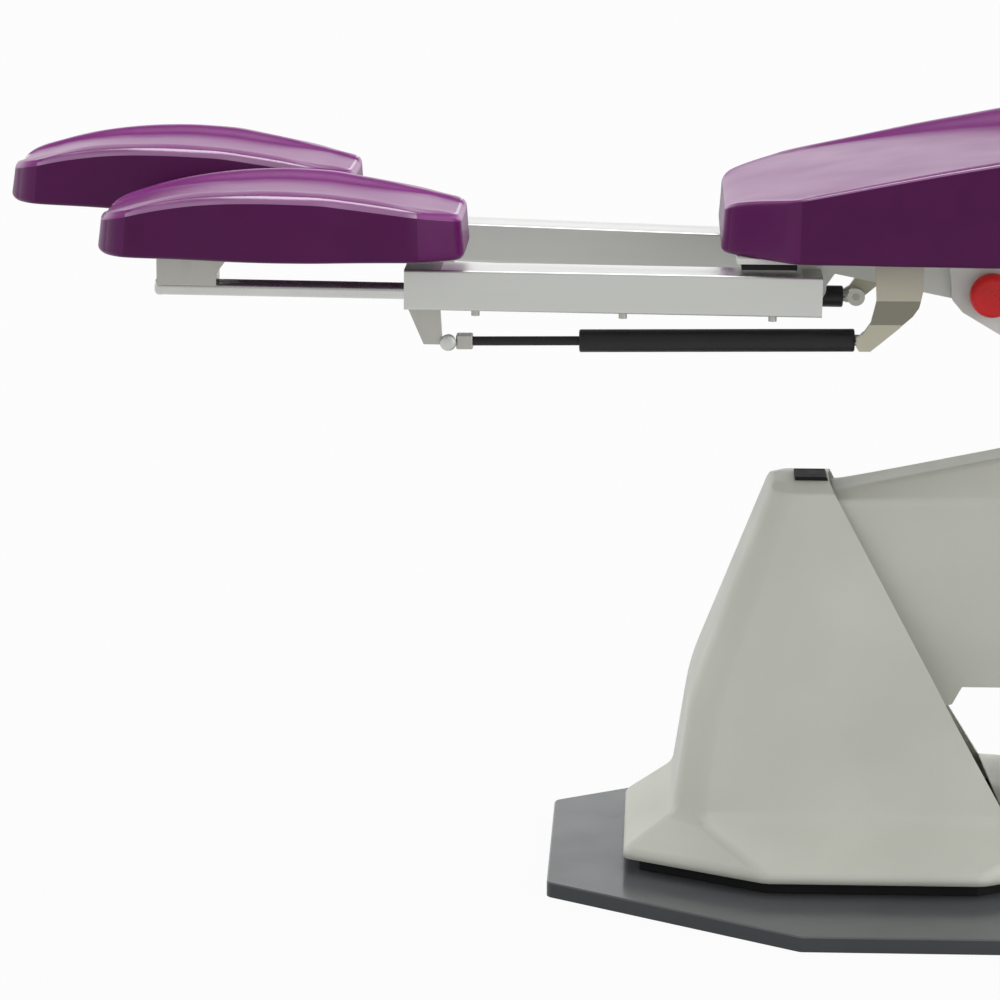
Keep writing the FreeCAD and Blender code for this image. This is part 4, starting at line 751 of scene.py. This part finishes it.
def smooth_value(rows, column, along):
    """Value of a row column at a place along the pad, on a curve without overshoot."""
    places = [row[0] for row in rows]
    at = min(max(along, places[0]), places[-1])
    i = min(max(bisect.bisect_right(places, at) - 1, 0), len(rows) - 2)
    slopes = []
    for k in (i, i + 1):
        steps = []
        for a in (k - 1, k):
            if 0 <= a < len(rows) - 1:
                steps.append((rows[a + 1][column] - rows[a][column]) / (rows[a + 1][0] - rows[a][0]))
        if len(steps) == 1:
            slopes.append(steps[0])
        elif steps[0] * steps[1] <= 0:
            slopes.append(0.0)
        else:
            slopes.append(2.0 * steps[0] * steps[1] / (steps[0] + steps[1]))
    span = places[i + 1] - places[i]
    t = (at - places[i]) / span
    low = rows[i][column]
    high = rows[i + 1][column]
    return ((2 * t ** 3 - 3 * t ** 2 + 1) * low + (t ** 3 - 2 * t ** 2 + t) * span * slopes[0]
            + (3 * t ** 2 - 2 * t ** 3) * high + (t ** 3 - t ** 2) * span * slopes[1])


def straight_value(rows, column, along):
    places = [row[0] for row in rows]
    at = min(max(along, places[0]), places[-1])
    i = min(max(bisect.bisect_right(places, at) - 1, 0), len(rows) - 2)
    t = (at - places[i]) / (places[i + 1] - places[i])
    return rows[i][column] * (1 - t) + rows[i + 1][column] * t


def pad_height(rows, along, across, brim):
    half = straight_value(rows, 1, along)
    wall = smooth_value(rows, 2, along)
    lip = smooth_value(rows, 3, along)
    hollow = smooth_value(rows, 4, along)
    inset = half - min(abs(across), half)
    brim = min(brim, half * WIDEST_BRIM)
    if inset > brim:
        sink = min((inset - brim) / min(HOLLOW_RUN * hollow, half - brim), 1.0)
        return wall + lip - hollow * (0.5 - 0.5 * math.cos(math.pi * sink))
    fall = 1.0 - inset / brim
    return wall + lip * (1.0 - fall ** 2)


def rounded_outline(corners, radius, steps=6):
    out = []
    for i, at in enumerate(corners):
        before = corners[i - 1] - at
        after = corners[(i + 1) % len(corners)] - at
        start = at + before.normalized() * min(radius, before.length * 0.48)
        end = at + after.normalized() * min(radius, after.length * 0.48)
        for k in range(steps + 1):
            t = k / steps
            out.append(start * (1 - t) ** 2 + at * 2 * t * (1 - t) + end * t ** 2)
    return out


class Boundary:
    """Closed plan outline, split at its four corners into sides that are sampled by length."""

    def __init__(self, rows):
        near = [Vector((row[0], -row[1])) for row in rows]
        far = [Vector((row[0], row[1])) for row in reversed(rows)]
        outline = rounded_outline(near + far, PLAN_RADIUS)
        self.centre = Vector(((rows[0][0] + rows[-1][0]) / 2, 0.0))
        reach = Vector((rows[-1][0] - self.centre.x, max(row[1] for row in rows)))
        marks = []
        for sx, sy in ((-1, -1), (1, -1), (1, 1), (-1, 1)):
            scores = [sx * (p.x - self.centre.x) / reach.x + sy * p.y / reach.y for p in outline]
            marks.append(scores.index(max(scores)))
        self.sides = []
        for i, mark in enumerate(marks):
            end = marks[(i + 1) % 4]
            count = (end - mark) % len(outline)
            run = [outline[(mark + k) % len(outline)] for k in range(count + 1)]
            lengths = [0.0]
            for a, b in zip(run, run[1:]):
                lengths.append(lengths[-1] + (b - a).length)
            self.sides.append((run, lengths))

    def point(self, side, share, inset):
        run, lengths = self.sides[side]
        want = share * lengths[-1]
        i = min(max(bisect.bisect_right(lengths, want) - 1, 0), len(run) - 2)
        while lengths[i + 1] - lengths[i] < 1e-9 and i < len(run) - 2:
            i += 1
        step = run[i + 1] - run[i]
        at = run[i] + step * ((want - lengths[i]) / max(lengths[i + 1] - lengths[i], 1e-9))
        inward = Vector((-step.y, step.x)).normalized()
        return at + inward * inset

    def on_square(self, a, b, inset):
        """Outline point for a point on the edge of the square from -1 to 1."""
        if b <= -1.0 + 1e-9:
            return self.point(0, (a + 1) / 2, inset)
        if a >= 1.0 - 1e-9:
            return self.point(1, (b + 1) / 2, inset)
        if b >= 1.0 - 1e-9:
            return self.point(2, (1 - a) / 2, inset)
        return self.point(3, (1 - b) / 2, inset)


def edge_drop(radius, inset):
    gap = max(radius - inset, 0.0)
    return radius - math.sqrt(max(radius * radius - gap * gap, 0.0))


def pad_mesh(rows, half_count, shrink, form):
    """Points (millimetres: along, across, up), faces, held points, rim faces and wall faces."""
    brim, edge, strips = form
    boundary = Boundary(rows)
    count = 2 * half_count
    square = [(2.0 * k / count - 1.0) for k in range(count + 1)]
    ring = [(square[k], -1.0) for k in range(count)]
    ring += [(1.0, square[k]) for k in range(count)]
    ring += [(square[count - k], 1.0) for k in range(count)]
    ring += [(-1.0, square[count - k]) for k in range(count)]
    ring_cells = [(k, 0) for k in range(count)] + [(count, k) for k in range(count)]
    ring_cells += [(count - k, count) for k in range(count)] + [(0, count - k) for k in range(count)]
    points = []
    faces = []

    def height(p):
        return pad_height(rows, p.x, p.y, brim) - shrink

    def grid(inset, level):
        first = len(points)
        for j in range(count + 1):
            for i in range(count + 1):
                a, b = square[i], square[j]
                reach = max(abs(a), abs(b))
                if reach < 1e-9:
                    p = boundary.centre.copy()
                else:
                    rim = boundary.on_square(a / reach, b / reach, inset)
                    p = boundary.centre + (rim - boundary.centre) * reach
                points.append(Vector((p.x, p.y, level(p))))
        return first

    def loop(inset, level):
        first = len(points)
        for a, b in ring:
            p = boundary.on_square(a, b, inset)
            points.append(Vector((p.x, p.y, level(p))))
        return list(range(first, first + len(ring)))

    def sew(upper, lower):
        for k in range(len(ring)):
            n = (k + 1) % len(ring)
            faces.append((upper[k], lower[k], lower[n], upper[n]))

    top_in = edge + WALL_LEAN + shrink
    top = grid(top_in, height)
    for j in range(count):
        for i in range(count):
            a = top + j * (count + 1) + i
            faces.append((a, a + 1, a + count + 2, a + count + 1))
    last = [top + j * (count + 1) + i for i, j in ring_cells]
    rim_start = len(faces)
    for inset in EDGE_STEPS:
        gap = inset * edge
        fresh = loop(gap + WALL_LEAN + shrink, lambda p: height(p) - edge_drop(edge, gap))
        sew(last, fresh)
        last = fresh
    for k in range(1, WALL_STRIPS + 1):
        t = k / WALL_STRIPS
        lean = WALL_LEAN * (1 - t) + shrink
        fresh = loop(lean, lambda p: (height(p) - edge) * (1 - t) + LOW_RADIUS * t)
        sew(last, fresh)
        last = fresh
    for turn in LOW_TURNS:
        tuck = LOW_RADIUS * (1 - math.cos(math.radians(turn)))
        drop = LOW_RADIUS * math.sin(math.radians(turn))
        fresh = loop(tuck + shrink, lambda p: LOW_RADIUS - drop)
        sew(last, fresh)
        last = fresh
    rim_end = rim_start + strips * len(ring)
    rim_faces = range(rim_start, rim_end)
    wall_faces = range(rim_end, len(faces))
    under = len(points)
    base = grid(LOW_RADIUS + shrink + UNDER_INSET, lambda p: 0.0)
    sew(last, [base + j * (count + 1) + i for i, j in ring_cells])
    for j in range(count):
        for i in range(count):
            a = base + j * (count + 1) + i
            faces.append((a, a + count + 1, a + count + 2, a + 1))
    return points, faces, list(range(under, len(points))), rim_faces, wall_faces


def eased(mesh, moves, held):
    """Averages each point's move with its neighbours', so that the cover is taut."""
    ends = np.array([edge.vertices[:] for edge in mesh.edges])
    links = np.bincount(ends.ravel(), minlength=len(moves))[:, None]
    for _ in range(TAUT_PASSES):
        total = np.zeros_like(moves)
        np.add.at(total, ends[:, 0], moves[ends[:, 1]])
        np.add.at(total, ends[:, 1], moves[ends[:, 0]])
        moves = 0.5 * moves + 0.5 * total / links
        moves[held] = 0.0
    return moves


def inflate(piece, held, pressure, cap, frames=16):
    """Swells the cover with a short cloth run; no point moves further than cap."""
    group = piece.vertex_groups.new(name="held")
    group.add(held, 1.0, "REPLACE")
    rest = np.array([v.co for v in piece.data.vertices])
    cloth = piece.modifiers.new("cloth", "CLOTH")
    cloth.settings.vertex_group_mass = "held"
    cloth.settings.use_pressure = True
    cloth.settings.uniform_pressure_force = pressure
    cloth.settings.effector_weights.gravity = 0.0
    cloth.settings.quality = 5
    cloth.point_cache.frame_start = 1
    cloth.point_cache.frame_end = frames
    scene = bpy.context.scene
    for number in range(1, frames + 1):
        scene.frame_set(number)
    posed = piece.evaluated_get(bpy.context.evaluated_depsgraph_get()).data
    moves = np.array([v.co for v in posed.vertices]) - rest
    piece.modifiers.remove(cloth)
    reach = np.linalg.norm(moves, axis=1, keepdims=True)
    moves *= np.minimum(1.0, cap / np.maximum(reach, 1e-9))
    for vertex, start, move in zip(piece.data.vertices, rest, eased(piece.data, moves, held)):
        vertex.co = Vector(start + move)
    scene.frame_set(1)
    piece.vertex_groups.clear()


def turned_to_end(points, face, least):
    a, b, c = [points[k] for k in face[:3]]
    return abs((b - a).cross(c - a).normalized().x) > least


def cushion(name, rows, half_count, place, node, body, shrink=1.5, cap=2.5, form=PAD_FORM):
    points, faces, held, rim_faces, wall_faces = pad_mesh(rows, half_count, shrink, form)
    piece = make_piece(name, [place @ p * MM for p in points], faces, "upholstery")
    rims = [k for k in rim_faces if not turned_to_end(points, faces[k], END_TURN)]
    ends = [k for k in wall_faces if turned_to_end(points, faces[k], END_TURN)]
    fronts = [k for k in ends if turned_to_end(points, faces[k], FRONT_TURN)]
    # The rims get the polished leather; the side walls, end walls and blunt ends get darker copies of its
    # colour, which is painted shade
    gloss_and_painted_shades = (("upholstery_edge", rims), ("upholstery_side_painted_shade", wall_faces),
                ("upholstery_end_painted_shade", ends), ("upholstery_front_painted_shade", fronts))
    for slot, part in gloss_and_painted_shades:
        piece.data.materials.append(materials[slot])
        for k in part:
            piece.data.polygons[k].material_index = len(piece.data.materials) - 1
    inflate(piece, held, CLOTH_PRESSURE, cap * MM)
    piece.modifiers.new("smooth", "SUBSURF").render_levels = 1
    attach(piece, body)
    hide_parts(node)


def leaned_place(height, depth):
    """Pads drawn lying: along goes up the back, up goes out of its face."""
    lie = Matrix(((0, 0, -1, -depth), (0, -1, 0, 0), (1, 0, 0, height), (0, 0, 0, 1)))
    return Matrix.Translation(BACK_PIVOT) @ Matrix.Rotation(math.radians(BACK_LEAN), 4, "Y") @ lie


def scaled_rows(rows, length, half, face):
    return [(share * length, width * half, face - drop, lip, dish)
            for share, width, drop, lip, dish in rows]


def upholster():
    cushion("seat_upholstery", SEAT_ROWS, 30, shift(SEAT_FRONT, 0, SEAT_Z), "seat_cushion", "carriage",
            form=SEAT_FORM)
    stretch = 1.0 + 2.0 * LEG_SWELL / PAD_ROWS[-1][0]
    leg_rows = [(row[0] * stretch - LEG_SWELL, *row[1:]) for row in PAD_ROWS]
    for side in ("near", "far"):
        place = leg_place(side, PAD_START - LEG_DRAWN_OUT[side], LEG_Y - PAD_SHIFT, PAD_Z)
        cushion("leg_pad_" + side, leg_rows, 24, place, "leg_cushion_" + side, "extension_" + side,
                form=LEG_FORM)
        middle = Vector((1.0, -1.0 if side == "near" else 1.0, 1.0))
        rows = scaled_rows(ARMPAD_ROWS, ARMPAD_LENGTH, ARMPAD_HALF, ARMPAD_FACE)
        place = Matrix.Translation(Vector([a * b for a, b in zip(ARMPAD_AT, middle)]))
        cushion("arm_pad_" + side, rows, 14, place, "armrest_pad_" + side, "armrest_" + side, 1.0, 2.0)
    rows = []
    for share, narrowing, drop, lip, dish in BACK_ROWS:
        half = BACK_HALF_LOW + narrowing * (BACK_HALF_TOP - BACK_HALF_LOW)
        rows.append((share * BACK_LENGTH, half, BACK_FACE - BACK_SEAT - drop, lip, dish))
    cushion("back_upholstery", rows, 32, leaned_place(BACK_BOTTOM, BACK_SEAT), "back_cushion", "back")
    rows = scaled_rows(HEAD_ROWS, HEAD_HEIGHT, HEAD_HALF, HEAD_FACE - HEAD_BACK)
    cushion("head_upholstery", rows, 18, leaned_place(HEAD_LOW, HEAD_BACK), "headrest_cushion", "headrest")


# Stage, light and camera

def spread(tree, value, start, end, low, high):
    node = tree.nodes.new("ShaderNodeMapRange")
    node.interpolation_type = "SMOOTHSTEP"
    node.inputs["From Min"].default_value = start
    node.inputs["From Max"].default_value = end
    node.inputs["To Min"].default_value = low
    node.inputs["To Max"].default_value = high
    tree.links.new(value, node.inputs["Value"])
    return node.outputs["Result"]


def combine(tree, operation, first, second):
    node = tree.nodes.new("ShaderNodeMath")
    node.operation = operation
    for socket, value in zip(node.inputs, (first, second)):
        if isinstance(value, float):
            socket.default_value = value
        else:
            tree.links.new(value, socket)
    return node.outputs["Value"]


def add_world():
    """A pale room: a bright low band behind, a soft dome above and in front, and panels at both ends."""
    world = bpy.data.worlds.new("studio")
    bpy.context.scene.world = world
    world.use_nodes = True
    tree = world.node_tree
    place = tree.nodes.new("ShaderNodeTexCoord")
    split = tree.nodes.new("ShaderNodeSeparateXYZ")
    tree.links.new(place.outputs["Generated"], split.inputs["Vector"])
    behind = combine(tree, "MULTIPLY", spread(tree, split.outputs["Z"], 0.28, 0.5, 1.0, 0.0),
                     spread(tree, split.outputs["Y"], 0.0, 0.5, 0.0, BEHIND_LEVEL))
    over = combine(tree, "SUBTRACT", combine(tree, "MULTIPLY", split.outputs["Z"], 0.5),
                   combine(tree, "MULTIPLY", split.outputs["Y"], 0.87))
    dome = spread(tree, over, 0.4, 0.8, 0.0, DOME_LEVEL)
    ends = combine(tree, "ADD", spread(tree, split.outputs["X"], -0.9, -0.4, FOOT_END_LEVEL, 0.0),
                   spread(tree, split.outputs["X"], 0.3, 0.8, 0.0, HEAD_END_LEVEL))
    level = combine(tree, "ADD", combine(tree, "ADD", behind, dome),
                    combine(tree, "ADD", ends, ROOM_LEVEL))
    tree.links.new(level, tree.nodes["Background"].inputs["Strength"])
    tree.nodes["Background"].inputs["Color"].default_value = (1.0, 1.0, 1.0, 1.0)


def add_floor():
    mesh = bpy.data.meshes.new("floor")
    corners = [(x * FLOOR_HALF, y * FLOOR_HALF, 0.0) for x, y in ((-1, -1), (1, -1), (1, 1), (-1, 1))]
    mesh.from_pydata(corners, [], [(0, 1, 2, 3)])
    floor = bpy.data.objects.new("floor", mesh)
    bpy.context.scene.collection.objects.link(floor)
    material = bpy.data.materials.new("floor")
    material.use_nodes = True
    tree = material.node_tree
    tree.nodes.clear()
    matt = tree.nodes.new("ShaderNodeBsdfDiffuse")
    matt.inputs["Color"].default_value = (FLOOR_SHADE, FLOOR_SHADE, FLOOR_SHADE, 1.0)
    glow = tree.nodes.new("ShaderNodeEmission")
    glow.inputs["Strength"].default_value = 1.0
    path = tree.nodes.new("ShaderNodeLightPath")
    seen = combine(tree, "MAXIMUM", path.outputs["Is Camera Ray"], path.outputs["Is Glossy Ray"])
    seen = combine(tree, "MAXIMUM", seen, path.outputs["Is Transmission Ray"])
    mix = tree.nodes.new("ShaderNodeMixShader")
    tree.links.new(combine(tree, "MULTIPLY", seen, FLOOR_WHITE), mix.inputs["Fac"])
    tree.links.new(matt.outputs["BSDF"], mix.inputs[1])
    tree.links.new(glow.outputs["Emission"], mix.inputs[2])
    out = tree.nodes.new("ShaderNodeOutputMaterial")
    tree.links.new(mix.outputs["Shader"], out.inputs["Surface"])
    mesh.materials.append(material)


def add_sun(name, towards, spread_angle, strength):
    data = bpy.data.lights.new(name, "SUN")
    data.energy = strength
    data.angle = math.radians(spread_angle)
    lamp = bpy.data.objects.new(name, data)
    lamp.rotation_euler = Vector(towards).to_track_quat("-Z", "Y").to_euler()
    bpy.context.scene.collection.objects.link(lamp)


def add_camera():
    data = bpy.data.cameras.new("photo_camera")
    data.lens = CAMERA_LENS
    data.sensor_width = CAMERA_SENSOR
    camera = bpy.data.objects.new("photo_camera", data)
    camera.location = CAMERA_AT
    camera.rotation_euler = (math.radians(90.0 - CAMERA_PITCH), 0.0, math.radians(CAMERA_YAW))
    bpy.context.scene.collection.objects.link(camera)
    bpy.context.scene.camera = camera


bpy.context.scene.view_settings.view_transform = "Standard"
add_camera()
add_world()
add_floor()
add_sun("ceiling", LAMP_TOWARDS, LAMP_SPREAD, LAMP_STRENGTH)
dress_nodes()
dress_paint_and_painted_shade()
dress_spring_ends()
dress_legs()
dress_boards()
soften_nodes()
tower_cover()
top_insert()
arm_cover()
leg_fittings()
upholster()
